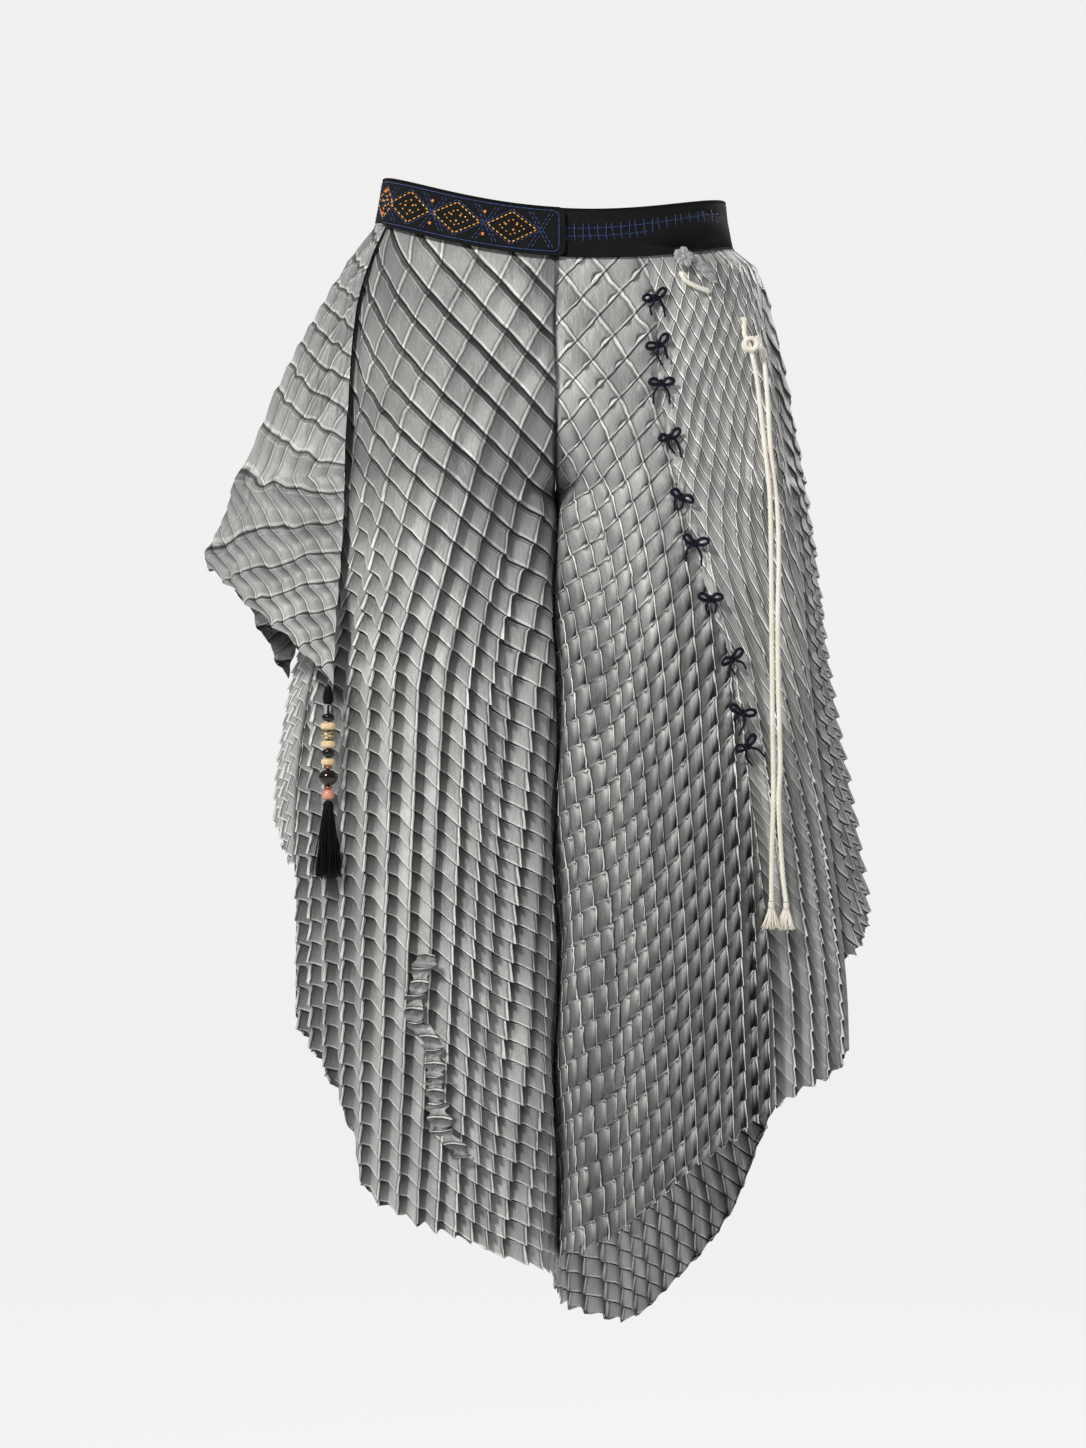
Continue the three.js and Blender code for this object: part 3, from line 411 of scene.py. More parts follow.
# Materials: helpers for shader nodes
class Nodes:
    def __init__(self, name):
        self.material = bpy.data.materials.new(name)
        self.material.use_nodes = True
        self.tree = self.material.node_tree
        self.shader = self.tree.nodes["Principled BSDF"]

    def node(self, kind, inputs, **values):
        """A new node with its own settings, and with numbers or links for its inputs."""
        made = self.tree.nodes.new(kind)
        for key, value in values.items():
            setattr(made, key, value)
        for key, value in inputs.items():
            self.put(value, made.inputs[key])
        return made

    def put(self, value, socket):
        if isinstance(value, bpy.types.NodeSocket):
            self.tree.links.new(value, socket)
        else:
            socket.default_value = value

    def place(self):
        return self.node("ShaderNodeTexCoord", {}).outputs["Object"]

    def parts(self, vector):
        return self.node("ShaderNodeSeparateXYZ", {"Vector": vector}).outputs

    def noise(self, vector, scale, detail=3.0, rough=0.5, stretch=None):
        if stretch:
            mapping = self.node("ShaderNodeMapping", {"Scale": stretch, "Vector": vector})
            vector = mapping.outputs["Vector"]
        inputs = {"Scale": scale, "Detail": detail, "Roughness": rough, "Vector": vector}
        return self.node("ShaderNodeTexNoise", inputs).outputs["Fac"]

    def wave(self, vector, scale, direction):
        inputs = {"Scale": scale, "Distortion": 0, "Detail": 0, "Vector": vector}
        return self.node("ShaderNodeTexWave", inputs, wave_type="BANDS",
                         bands_direction=direction).outputs["Fac"]

    def math(self, what, a, b=0):
        return self.node("ShaderNodeMath", {0: a, 1: b}, operation=what).outputs[0]

    def times(self, first, *others):
        for other in others:
            first = self.math("MULTIPLY", first, other)
        return first

    def minus(self, a, b):
        return self.math("SUBTRACT", a, b)

    def mix(self, share, a, b):
        """Two values blended by a share from 0 to 1."""
        return self.math("ADD", self.times(a, self.minus(1, share)), self.times(b, share))

    def ramp(self, value, stops):
        """Colours, or greys given as single numbers, placed along a value from 0 to 1."""
        made = self.node("ShaderNodeValToRGB", {"Fac": value})
        marks = made.color_ramp.elements
        while len(marks) < len(stops):
            marks.new(0.5)
        for mark, (at, colour) in zip(marks, stops):
            mark.position = at
            mark.color = (*colour, 1) if isinstance(colour, tuple) else (colour, colour, colour, 1)
        return made.outputs["Color"]

    def span(self, value, low, high, start=0, end=1):
        """From low to high while a value goes from start to end."""
        inputs = {"From Min": start, "From Max": end, "To Min": low, "To Max": high, "Value": value}
        return self.node("ShaderNodeMapRange", inputs).outputs["Result"]

    def bump(self, heights):
        """Bumps one on another: each is (height, distance in metres, strength)."""
        normal = None
        for height, distance, strength in heights:
            inputs = {"Strength": strength, "Distance": distance, "Height": height}
            if normal:
                inputs["Normal"] = normal
            normal = self.node("ShaderNodeBump", inputs).outputs["Normal"]
        self.set(Normal=normal)

    def set(self, **values):
        for key, value in values.items():
            self.put(value, self.shader.inputs[key.replace("_", " ")])


def taffeta(name, tone, under, face, depth, slits=False, contrast=1.35, fade=1.0,
            levels=(0.82, 1.02), lower=(-0.14, -0.36)):
    """Silver-grey woven silk, with light and shade painted into its colour. The map of pleat counts places
    its fold lines:
    a painted highlight on the rim of each fold, painted shade on the underside that goes up behind it, and
    painted shade on the darker half of each steep pleat."""
    n = Nodes(name)
    place = n.place()
    x, y, z = n.parts(place)
    counts = n.node("ShaderNodeUVMap", {}, uv_map="pleats").outputs["UV"]
    drift = n.times(n.minus(n.noise(place, 60, 2, 0.5), 0.5), 0.2 if slits else 0.13)
    a, b = [n.math("FRACT", n.math("ADD", n.parts(counts)[axis], drift)) for axis in ("X", "Y")]
    low = n.span(z, 0, 1, *lower)
    # painted light and shade across each steep pleat: a painted highlight on its fold rim with a painted
    # shadow line beside it, and painted shade on its darker half; it is deeper lower down (folded) than
    # near the hip (flat)
    folded = n.ramp(a, [(0, 0.95), (0.03, 0.9), (0.055, 0.06), (0.11, 0.24 + 0.2 * face),
                        (0.4, 0.38 + 0.16 * face), (0.56, 0.56), (0.86, 0.56), (0.93, 0.26),
                        (0.96, 0.95), (1, 0.95)])
    flat = n.ramp(a, [(0, 0.78), (0.03, 0.72), (0.06, 0.2), (0.13, 0.42), (0.5, 0.5), (0.86, 0.5),
                      (0.94, 0.3), (0.97, 0.78), (1, 0.78)])
    if slits:
        folded = n.times(folded, n.times(folded, 1.85))
    steep = n.mix(low, flat, folded)

    # painted light and shade across each slanting pleat: a painted highlight on its rim, painted shade on
    # the underside strip behind it, and a dark painted shadow line just under the next rim
    def slanting(fold, depth):
        marks = [(0, 0.84), (0.045, 0.8), (0.075, 0.54), (fold - 0.1, 0.5), (fold - 0.05, 0.42),
                 (fold - 0.015, 0.7), (fold + 0.02, 0.28), (0.87, 0.24), (0.9, 0.06), (0.95, 0.05),
                 (0.97, 0.84), (1, 0.84)]
        return n.ramp(b, [(at, max(0.03, 0.5 + (grey - 0.5) * depth)) for at, grey in marks])

    slant = n.mix(low, slanting(1 - under, depth), slanting(1 - 0.6 * under, depth * fade))
    whole = n.node("ShaderNodeVectorMath", {0: counts}, operation="FLOOR").outputs["Vector"]
    cell = n.node("ShaderNodeTexWhiteNoise", {"Vector": whole}, noise_dimensions="3D")
    cell = cell.outputs["Value"]
    patches = n.noise(place, 22, 4, 0.6, (1, 1, 0.45))
    threads = n.noise(place, 900, 2, 0.5, (1, 1, 0.08))
    silk = n.ramp(n.mix(0.25, patches, threads), [
        (at, (grey * tone, grey * tone, blue * tone))
        for at, grey, blue in ((0.32, 0.27, 0.265), (0.5, 0.35, 0.345), (0.68, 0.44, 0.43))])
    shade = n.times(steep, slant, 4, n.span(cell, 0.87, 1.13))
    if slits:
        # small leaf-shaped openings along the slanting folds, painted as a highlight in the middle with
        # painted shade round it, and painted shade that darkens each cell down and right
        wide = n.math("SINE", n.times(n.math("MAXIMUM", n.minus(a, 0.42), 0), 5.9))
        wide = n.times(wide, n.span(cell, 0.05, 0.2))
        away = n.math("MINIMUM", b, n.minus(1, b))
        near = n.math("DIVIDE", away, n.math("MAXIMUM", wide, 0.004))
        leaf = n.ramp(n.times(near, 0.5), [(0, 0.95), (0.2, 0.85), (0.3, 0.13), (0.5, 0.25), (0.75, 0.5)])
        far = n.times(a, n.minus(1, b))
        shade = n.times(shade, leaf, 2, n.minus(1.22, n.times(far, n.mix(low, 0.8, 1.9))))
    else:
        # the corner under each crossing of folds lies in shade
        corner = n.times(n.math("MAXIMUM", n.minus(0.75, a), 0), b)
        shade = n.times(shade, n.minus(1.05, n.times(corner, n.mix(low, 0.4, 1.5))))
    # painted light and shade by height: the colour is scaled from the hip to the lower leg by the two
    # levels
    shade = n.times(shade, n.mix(low, *levels))
    # the fly: a dark painted shadow line down the middle of the front, from the band to the crotch, where
    # the two panels meet
    swing = n.times(n.math("SINE", n.times(z, 60)), 0.0012)
    seam = n.span(n.math("ABSOLUTE", n.math("ADD", x, swing)), 0.2, 1, 0.0006, 0.0028)
    elsewhere = n.math("MAXIMUM", n.math("GREATER_THAN", y, 0), n.math("LESS_THAN", z, -0.24))
    shade = n.times(shade, n.math("MAXIMUM", seam, elsewhere))
    # the painted light and shade, raised to a power for more contrast, scale the silk's colour
    bright = n.math("MINIMUM", n.math("POWER", shade, contrast), 2.3)
    tinted = n.node("ShaderNodeVectorMath", {0: silk, "Scale": bright}, operation="SCALE")
    n.set(Base_Color=tinted.outputs["Vector"], Roughness=n.span(patches, 0.42, 0.6), Metallic=0.12,
          Sheen_Weight=0.1, Sheen_Roughness=0.4, Specular_IOR_Level=0.5)
    wrinkle = n.noise(place, 95, 4, 0.65, (1.4, 1.4, 0.5))
    crush = n.noise(place, 260, 3, 0.6, (1, 1, 0.6))
    n.bump([(wrinkle, 0.002, 0.7), (n.times(steep, slant), 0.0012, 0.6), (crush, 0.0006, 0.5),
            (n.wave(place, 420, "Z"), 0.0001, 0.25)])
    return n.material


def cotton():
    """Soft unbleached cotton with fine fibres."""
    n = Nodes("cotton")
    fibre = n.noise(n.place(), 1500, 3, 0.6, (1, 1, 0.3))
    soil = n.noise(n.place(), 60, 3, 0.5)
    n.set(Base_Color=n.ramp(n.mix(0.5, fibre, soil), [
        (0.3, (0.72, 0.66, 0.54)), (0.55, (0.88, 0.84, 0.74)), (0.75, (0.94, 0.92, 0.85))]),
          Roughness=0.85, Sheen_Weight=0.3, Sheen_Roughness=0.6)
    n.bump([(fibre, 0.0003, 0.6)])
    return n.material


KNIFE = taffeta("taffeta_knife", 0.84, 0.26, 0.1, 1.35)
SOFT = taffeta("taffeta_soft", 1, 0.14, 0.2, 0.75, slits=True, levels=(0.99, 1.2))
NETTED = taffeta("taffeta_netted", 1.36, 0.12, 0.4, 1.4, fade=0.35, levels=(0.86, 0.64),
                 lower=(-0.34, -0.62))
PLAIN_SILK = taffeta("taffeta_flap", 1.02, 0.2, 0.5, 0.9, contrast=1)
COTTON = cotton()


# Cords: the loop under the rosette and the long cord's two strands
def route(rows):
    at, z, out = (np.array(column, float) for column in zip(*rows))
    return out_of(left, at, z, out)


def cord_piece(name, rows, nodes):
    points, length = spline(route(rows), len(rows) * 34)
    shape = Shape()
    shape.tube(points, CORD / 2 * 1.06, 18, lobes=3, pitch=CORD_PITCH)
    piece = shape.make(name, COTTON, "cotton", nodes)


def frayed(centre, seed, name, node):
    """Unravelled yarn under a thread whipping."""
    shape = Shape()
    random = np.random.RandomState(seed)
    x, y, z = centre
    for k in range(7):
        shape.tube(hoop(x, y, z + 0.2 - 0.55 * k, 2.35, 14), 0.34, 5, caps=False)
    shape.tube([(x, y, z + 0.6), (x, y, z - 2.5), (x, y, z - 5)], (2, 2.1, 2.6), 12)
    for k in range(80):
        angle, reach = random.uniform(0, TURN), math.sqrt(random.uniform(0.02, 1))
        side = np.array([math.cos(angle), 0.55 * math.sin(angle), 0])
        flare = random.uniform(2.1, 3.1)
        long = random.uniform(17, 21)
        start = np.array([x, y, z - 3.6]) + side * 1.9 * reach
        curl = np.array([random.uniform(-1, 1), random.uniform(-1, 1), 0]) * 0.9
        yarn(shape, start, side * reach * flare, curl, (0.9, 1.9, 2.5),
             (0.35 * long, 0.72 * long, long - 2), np.linspace(0.5, 0.42, 9), 5)
    return shape.make(name, COTTON, "cotton", (node,))


def cords():
    for name, rows, seed in (("cord_tip_a", STRAND_A, 3), ("cord_tip_b", STRAND_B, 8)):
        end = route(rows)[-1] + (0, 0, -0.8)
        frayed(end, seed, name, name.replace("tip", "end"))
    a, b = route(STRAND_A), route(STRAND_B)
    ahead = unit(a[KNOT_POINT + 1] - a[KNOT_POINT - 1])
    side = unit(np.cross(ahead, [0, 1, 0]))
    over = leg_normal(left, STRAND_A[KNOT_POINT][0], STRAND_A[KNOT_POINT][1])
    turns = []
    for t in np.linspace(-0.6, 1.75 * TURN, 70):
        lift = 2.2 + 1.5 * math.sin(0.5 * t + 0.6)
        turns.append(a[KNOT_POINT] + side * 5.4 * math.cos(t) + ahead * 5 * math.sin(t) + over * lift)
    shape = Shape()
    shape.tube(turns, 2.0, 16, lobes=3, pitch=CORD_PITCH)
    knot = shape.make("knot_turns", COTTON, "cotton", ("cord_knot",))
    cord_piece("cord_left_strand", STRAND_A, ("cord_strand_a",))
    cord_piece("cord_right_strand", STRAND_B, ("cord_strand_b",))
    loop = route(LOOP_CORD)
    cord_piece("cord_small_loop", LOOP_CORD, ("cord_loop",))


cords()


# Pleated panels. Two families of creases cross: a counts the steep pleats from a seam, b counts the
# slanting ones, which were pressed over them as knife pleats.
AT_GRID, Z_GRID = np.linspace(0, 1, 301), np.linspace(-1010, 60, 108)


class Lattice:
    """Counts pleats in two directions. The steep ones are counted by arc length from a seam, shifted
    with height where they lean; the slanting ones by level, with a slope and spacing for each level."""

    def __init__(self, leg, start, toward, lean, slope, rise, spacing):
        self.leg, self.start, self.toward, self.rise = leg, start, toward, rise
        self.lean, self.slope = Table("z pitch shift", lean), Table("w slope", slope)
        self.arc = run_along(leg_point(leg, AT_GRID[None, :], Z_GRID[:, None]))
        self.runs = np.linspace(0, self.arc.max(), 501)
        self.places = np.array([np.interp(self.runs, arc, AT_GRID) for arc in self.arc])
        self.levels = np.linspace(-1500, 500, 3000)
        steps = 1 / Table("w spacing", spacing).read("spacing", self.levels)
        passed = np.cumsum((steps[1:] + steps[:-1]) / 2 * np.diff(self.levels))
        self.counts = np.concatenate([[0], passed])

    def a(self, at, z):
        run = between(self.arc, AT_GRID, at, z) - between(self.arc, AT_GRID, self.start(z), z)
        return (self.toward * run + self.lean.read("shift", z)) / self.lean.read("pitch", z)

    def at(self, a, z):
        run = a * self.lean.read("pitch", z) - self.lean.read("shift", z)
        run = self.toward * run + between(self.arc, AT_GRID, self.start(z), z)
        return between(self.places, self.runs, run, z)

    def b(self, at, z):
        x = np.abs(leg_point(self.leg, at, z)[..., 0])
        x = x * (1 + 0.3 * (x / self.leg.rows.read("outer", z)) ** 6)
        level = z
        for _ in range(6):
            level = z - self.rise * self.slope.read("slope", level) * x
        return np.interp(level, self.levels, self.counts)


def between(table, columns, x, z):
    """Values between the points of a table with a row for each height of Z_GRID."""
    x, z = np.broadcast_arrays(np.asarray(x, float), np.asarray(z, float))
    row = np.clip((z - Z_GRID[0]) / (Z_GRID[1] - Z_GRID[0]), 0, len(Z_GRID) - 1.001)
    column = np.clip((x - columns[0]) / (columns[1] - columns[0]), 0, len(columns) - 1.001)
    i, j = row.astype(int), column.astype(int)
    s, t = row - i, column - j
    return ((table[i, j] * (1 - t) + table[i, j + 1] * t) * (1 - s)
            + (table[i + 1, j] * (1 - t) + table[i + 1, j + 1] * t) * s)


def noise_field(seed, cells=64):
    """Smooth noise from -1 to 1 that repeats only after many cells."""
    values = np.random.RandomState(seed).uniform(-1, 1, (cells, cells))

    def value(i, j):
        return values[i % cells, j % cells]

    def read(u, v):
        u, v = np.asarray(u, float), np.asarray(v, float)
        i, j = np.floor(u).astype(int), np.floor(v).astype(int)
        s, t = u - i, v - j
        s, t = s * s * (3 - 2 * s), t * t * (3 - 2 * t)
        return ((value(i, j) * (1 - s) + value(i + 1, j) * s) * (1 - t)
                + (value(i, j + 1) * (1 - s) + value(i + 1, j + 1) * s) * t)

    return read


DRAPE, WANDER = noise_field(11), noise_field(23)


def hashed(i, j, salt):
    """A steady number from 0 to 1 for a cell of the lattice."""
    n = np.sin(i * 127.1 + j * 311.7 + salt * 74.7) * 43758.5453
    return n - np.floor(n)


def creased(count, under):
    """A pressed fold: a slow fall from 1 to 0 and a quick turn back."""
    part = count - np.floor(count)
    return np.where(part < 1 - under, 1 - part / (1 - under), (part - 1 + under) / under)


def pleat_relief(a, b, z, relief):
    """How far out, down and sideways a point of the pleated cloth stands."""
    i, j = np.floor(a), np.floor(b)
    fa, fb = a - i, b - j
    if relief["mirrored"]:
        fa = 1 - fa
    valley = np.clip(relief["valley"] + 0.14 * (hashed(i, j, 1) - 0.5), 0.12, 0.88)
    ridge = np.where(fa < valley, 1 - 2 * fa / valley, 2 * (fa - valley) / (1 - valley) - 1)
    under = relief["under"].read("share", z) * (0.8 + 0.4 * hashed(i * 0, j, 2))
    lip = creased(b, under)
    if relief["channel"]:
        strip = np.clip((fb - 1 + under) / under, 0, 1)
        level = 0.9 + 0.1 * np.sin(math.pi * fb) - 0.8 * np.sin(math.pi * strip)
        lip = level + (lip - level) * smooth(-z, 130, 320)
    tall = relief["tall"].read("out", z) * (0.75 + 0.5 * hashed(i, j * 0, 3))
    step = relief["step"].read("out", z) * (0.7 + 0.6 * hashed(i, j, 4))
    out = tall * ridge * (0.62 + 0.38 * lip) + step * lip
    crown = np.sin(math.pi * fb) * np.sin(math.pi * fa)
    out = out + relief["puff"] * crown * (hashed(i, j, 5) - 0.35)
    down = relief["hang"].read("down", z) * lip**2 * (0.55 + 0.45 * ridge)
    aside = relief["jog"] * (lip - 0.5)
    return out, down, aside


def counted(low, high, parts):
    """Whole counts from low to high, each with the same smaller parts after it."""
    whole = np.arange(math.floor(low), math.ceil(high) + 1)
    return (whole[:, None] + np.array(parts)).ravel()


def gathers(at, z, width):
    """Small gathers along the laced seam, and folds that run out from each bow."""
    aside = (at - laced(z)) * width
    edge = np.exp(-(aside / 10) ** 2) * smooth(z, -470, -440) * smooth(-z, 40, 55)
    out = 1.3 * edge * np.sin(z / 1.55 + 2.5 * WANDER(z / 19, aside / 30))
    for index, (height, _) in enumerate(BOWS):
        over = z - height
        far = np.hypot(aside, over)
        angle = np.arctan2(over, aside)
        folds = np.cos(6 * angle + 1.5 * np.sin(angle + index)) * np.minimum(1, far / 6)
        out = out + 2.1 * folds * np.exp(-(far / 17) ** 2) - 1.5 * np.exp(-(far / 5) ** 2)
    return out


def panel(name, lattice, relief, low, high, hem, nodes):
    """One cut of pleated cloth between two seams, from the waistband to the hem. The pleats flatten
    in the last 10 mm before each seam."""
    leg = lattice.leg
    heights = np.linspace(-1000, 40, 700)
    reach = [lattice.a(edge(heights), heights) for edge in (low, high)]
    columns = counted(min(r.min() for r in reach), max(r.max() for r in reach), relief["columns"])
    at = lattice.at(columns[:, None], heights[None])
    at = np.clip(at, low(heights)[None], high(heights)[None])
    levels = lattice.b(at, np.broadcast_to(heights, at.shape))
    levels = np.maximum.accumulate(levels, axis=1) + np.arange(len(heights)) * 1e-7
    rows = counted(levels.min(), levels.max(), relief["rows"])
    z = np.array([np.interp(rows, each, heights) for each in levels])
    at = np.clip(lattice.at(columns[:, None], z), low(z), high(z))
    teeth = relief["teeth"] * (np.abs(((lattice.a(at, z) + 0.5) % 1) - 0.5) * 2 - 0.5)
    bottom = hem.read("z", at) + teeth
    top = band_middle(leg, ring_share(at, SEAM_Z)) - HALF_BAND + 5
    z = np.clip(z, bottom, top)
    at = np.clip(at, low(z), high(z))
    base, normal = leg_point(leg, at, z), leg_normal(leg, at, z)
    upward = unit(leg_point(leg, at, z + 1) - leg_point(leg, at, z - 1))
    level = unit(np.cross(upward, normal)) * leg.side
    wander = WANDER(at * 26 + 5, z / 48) * relief["wander"]
    a, b = lattice.a(at, z) + wander * 0.6, lattice.b(at, z) + wander * 0.5
    grid_a = np.broadcast_to(columns[:, None], a.shape)
    grid_b = np.broadcast_to(rows[None, :], b.shape)
    a = np.where(np.abs(a - grid_a) < 0.3, grid_a, a)
    b = np.where(np.abs(b - grid_b) < 0.3, grid_b, b)
    out, down, aside = pleat_relief(a, b, z, relief)
    counts = np.stack([1 - a if relief["mirrored"] else a, b], -1)
    width = speed(leg, at, z)
    near = np.minimum(at - low(z), high(z) - at) * width / 10
    fade = np.clip(near, 0, 1) * smooth(top - z, 3, 26)
    drape = relief["drape"] * DRAPE(at * 9 + 3, z / 260) * smooth(-z, 60, 330)
    rumple = relief["rumple"] * WANDER(at * 60, z / 22)
    fade_drape = np.clip(near * 0.5, 0, 1)
    total = (out + rumple) * fade + drape * fade_drape - smooth(z - top, -6, -3)
    bend = 2.4 * np.sin(base[..., 1] / 10 + z / 37) * smooth(-z, 205, 240)
    if leg is left and "front" in name:
        total = total + gathers(at, z, width)
    clear = np.maximum(0, np.abs(base[..., 0]) - 0.35 - leg.side * bend)
    inner = smooth(-normal[..., 0] * leg.side, 0.72, 0.98)
    total = total * (1 - 0.6 * inner) + clear * inner * smooth(-z, 205, 240)
    total = np.where(inner > 0, np.minimum(total, clear), total)
    points = base + normal * total[..., None] - upward * (down * fade)[..., None]
    points = points + level * (aside * fade)[..., None]
    rise, side = (np.linalg.norm(np.diff(points, axis=axis), axis=-1) for axis in (1, 0))
    wide = np.maximum(side[:, :-1], side[:, 1:]) > 0.05
    tall = np.maximum(rise[:-1], rise[1:]) > 0.05
    shape = Shape()
    shape.grid(points, keep=wide & tall)
    shape.pleats = counts
    piece = shape.make(name, relief["silk"], "taffeta", nodes, angle=28)


def front_line(leg, rows):
    """Where a line drawn on the front view by heights and distances from the middle crosses."""
    rows = Table("z x", rows)
    quarter = np.linspace(0, 0.5, 200)
    across = leg_point(leg, quarter[None, :], Z_GRID[:, None])[..., 0] * leg.side
    found = [np.interp(rows.read("x", z), row, quarter) for z, row in zip(Z_GRID, across)]
    return lambda z: np.interp(z, Z_GRID, found)


def level_at(value):
    return lambda z: np.full(np.shape(z), float(value))


def seam_at(table):
    return lambda z: table.read("at", z)


laced, right_side, left_side = seam_at(LACED_SEAM), seam_at(RIGHT_SIDE), seam_at(LEFT_SIDE)
RELIEF = {
    "puff": 0.5, "jog": 0.8, "teeth": 4, "drape": 5, "rumple": 0.35, "wander": 0.1,
    "mirrored": False, "channel": False, "columns": (0, 0.05, 0.14, 0.3, 0.45, 0.6, 0.78, 0.93),
    "rows": (0, 0.05, 0.2, 0.4, 0.58, 0.72, 0.86, 0.95)}


def relief_of(silk, valley, under, tall, step, hang, **changes):
    """How one panel's pleats stand: their sizes by height, and what differs from the usual."""
    return {**RELIEF, "silk": silk, "valley": valley, "under": Table("z share", under),
            "tall": Table("z out", tall), "step": Table("z out", step),
            "hang": Table("z down", hang), **changes}


RIGHT_SPACING = [(-1300, 16.3), (-520, 16.5), (-430, 20), (-380, 23), (-280, 27), (-220, 32),
                 (-150, 36), (300, 36)]
COARSE = {"columns": (0, 0.06, 0.2, 0.4, 0.6, 0.8, 0.93), "rows": (0, 0.06, 0.3, 0.6, 0.8, 0.93)}


def panels():
    knife = relief_of(
        KNIFE, 0.42, under=[(-960, 0.16), (-480, 0.18), (-350, 0.24), (-200, 0.28), (0, 0.28)],
        tall=[(-960, 4.6), (-480, 4.6), (-330, 3.4), (-200, 1.8), (-60, 0.9), (0, 0.4)],
        step=[(-960, 2.8), (-480, 3), (-300, 3.8), (-150, 3.8), (-40, 2.6)],
        hang=[(-960, 3.8), (-480, 4.4), (-330, 4), (-200, 1.2), (0, 0.2)], channel=True)
    line = front_line(right, [(-22, 38), (-100, 78), (-170, 108), (-280, 136), (-395, 155),
                              (-850, 162)])
    lattice = Lattice(
        right, line, -1,
        [(-22, 30, 0), (-100, 28, 0), (-205, 25, 0), (-395, 20.5, 0), (-650, 18, 0), (-850, 15.5, 0)],
        [(-1200, 0.62), (-800, 0.75), (-500, 0.86), (-300, 0.9), (-200, 1.05), (0, 1.15)], 1, RIGHT_SPACING)
    panel("front_right", lattice, knife, level_at(0), right_side, RIGHT_FRONT_HEM,
          ("right_front_hip", "right_front_leg"))
    soft = relief_of(
        SOFT, 0.8, under=[(-960, 0.14), (0, 0.16)],
        tall=[(-960, 4.4), (-600, 4), (-400, 3.2), (-200, 2), (-60, 1.1), (0, 0.4)],
        step=[(-960, 1.6), (-300, 1.8), (-100, 1.8), (-40, 1.4)],
        hang=[(-960, 2), (-330, 1.8), (-200, 1), (0, 0.4)], puff=1.8, mirrored=True, jog=0.35, wander=0.06,
        teeth=5.5)
    line = front_line(left, [(-22, 32), (-90, 80), (-150, 106), (-256, 124), (-550, 140), (-850, 150)])
    lattice = Lattice(
        left, line, -1,
        [(-22, 38, 0), (-90, 33, 0), (-150, 25, 0), (-256, 17.5, 0), (-350, 14.5, 0), (-550, 11.8, 0),
         (-720, 10.4, 0), (-850, 9.4, 0)],
        [(-1200, 1.15), (-300, 1.1), (0, 1.12)], 1,
        [(-1300, 25), (-400, 24), (-250, 25), (-150, 30), (0, 34), (300, 34)])
    panel("front_left", lattice, soft, level_at(0), laced, LEFT_FRONT_HEM,
          ("left_front_hip", "left_front_leg"))
    side = relief_of(
        NETTED, 0.6, under=[(-960, 0.14), (0, 0.16)],
        tall=[(-960, 3.4), (-480, 2.8), (-300, 1.5), (-60, 0.9), (0, 0.4)],
        step=[(-960, 0.9), (-560, 1.1), (-300, 1.7), (-40, 1.4)],
        hang=[(-960, 1.6), (-400, 1), (-200, 0.4), (0, 0.2)],
        puff=0.9, jog=0.3, wander=0.06, **COARSE)
    lattice = Lattice(
        left, laced, 1,
        [(-22, 13, -105), (-150, 13.2, -52), (-280, 14, -10), (-480, 17, 0), (-650, 18, 0), (-850, 16, 0)],
        [(-900, 0.7), (-400, 0.9), (-150, 1.4), (50, 1.6), (400, 1.7)], -1,
        [(-900, 17), (-300, 17), (0, 19), (300, 21)])
    panel("front_left_side", lattice, side, laced, left_side, LEFT_FRONT_HEM,
          ("left_side_front_hip", "left_side_front_leg"))
    back = relief_of(
        KNIFE, 0.5, under=[(-960, 0.18), (0, 0.24)],
        tall=[(-960, 4.2), (-480, 3.8), (-330, 2.8), (-200, 1.8), (-60, 0.9), (0, 0.4)],
        step=[(-960, 2.2), (-300, 2.6), (-40, 1.8)], hang=[(-960, 2.6), (-330, 2.2), (-200, 1), (0, 0.4)],
        teeth=5.5, **COARSE)
    lean = [(-22, 24, -60), (-220, 22, -10), (-350, 20, 0), (-500, 18.5, 0), (-650, 17.5, 0), (-850, 16, 0)]
    slope = [(-1200, 0.62), (-500, 0.75), (-300, 0.9), (0, 1.1)]
    lattice = Lattice(right, right_side, 1, lean, slope, 1, RIGHT_SPACING)
    panel("back_right", lattice, back, right_side, level_at(1), RIGHT_BACK_HEM,
          ("right_back_hip", "right_back_leg"))
    slope = [(-900, 0.6), (-300, 0.62), (0, 0.8), (300, 1)]
    lattice = Lattice(left, left_side, 1, lean, slope, -1,
                      [(-900, 17), (-300, 18), (0, 22), (300, 30)])
    panel("back_left", lattice, back, left_side, level_at(1), LEFT_BACK_HEM,
          ("left_back_hip", "left_back_leg"))


panels()


# Waistband: four curved stretches with rounded edges. The wearer's right front one is the over-tab,
# which laps over the left one.
def black_cloth():
    n = Nodes("black_cloth")
    place = n.place()
    nap = n.noise(place, 700, 3, 0.6)
    faded = n.noise(place, 30, 3, 0.5)
    n.set(Base_Color=n.ramp(n.mix(0.5, nap, faded), [
        (0.3, (0.0015, 0.0015, 0.002)), (0.6, (0.004, 0.004, 0.005)), (0.8, (0.009, 0.009, 0.011))]),
          Roughness=0.9, Sheen_Weight=0.03, Sheen_Roughness=0.5, Specular_IOR_Level=0.25)
    weave = n.math("MAXIMUM", n.wave(place, 330, "X"), n.wave(place, 330, "Z"))
    n.bump([(weave, 0.00015, 0.5), (nap, 0.0002, 0.5)])
    return n.material


def thread(name, dark, light, rough=0.55, sheen=0.2):
    n = Nodes(name)
    strands = n.noise(n.place(), 1800, 2, 0.5, (1, 1, 0.4))
    n.set(Base_Color=n.ramp(strands, [(0.35, dark), (0.7, light)]), Roughness=rough,
          Sheen_Weight=sheen, Sheen_Roughness=0.4, Specular_IOR_Level=0.15 + sheen)
    n.bump([(strands, 0.00015, 0.5)])
    return n.material


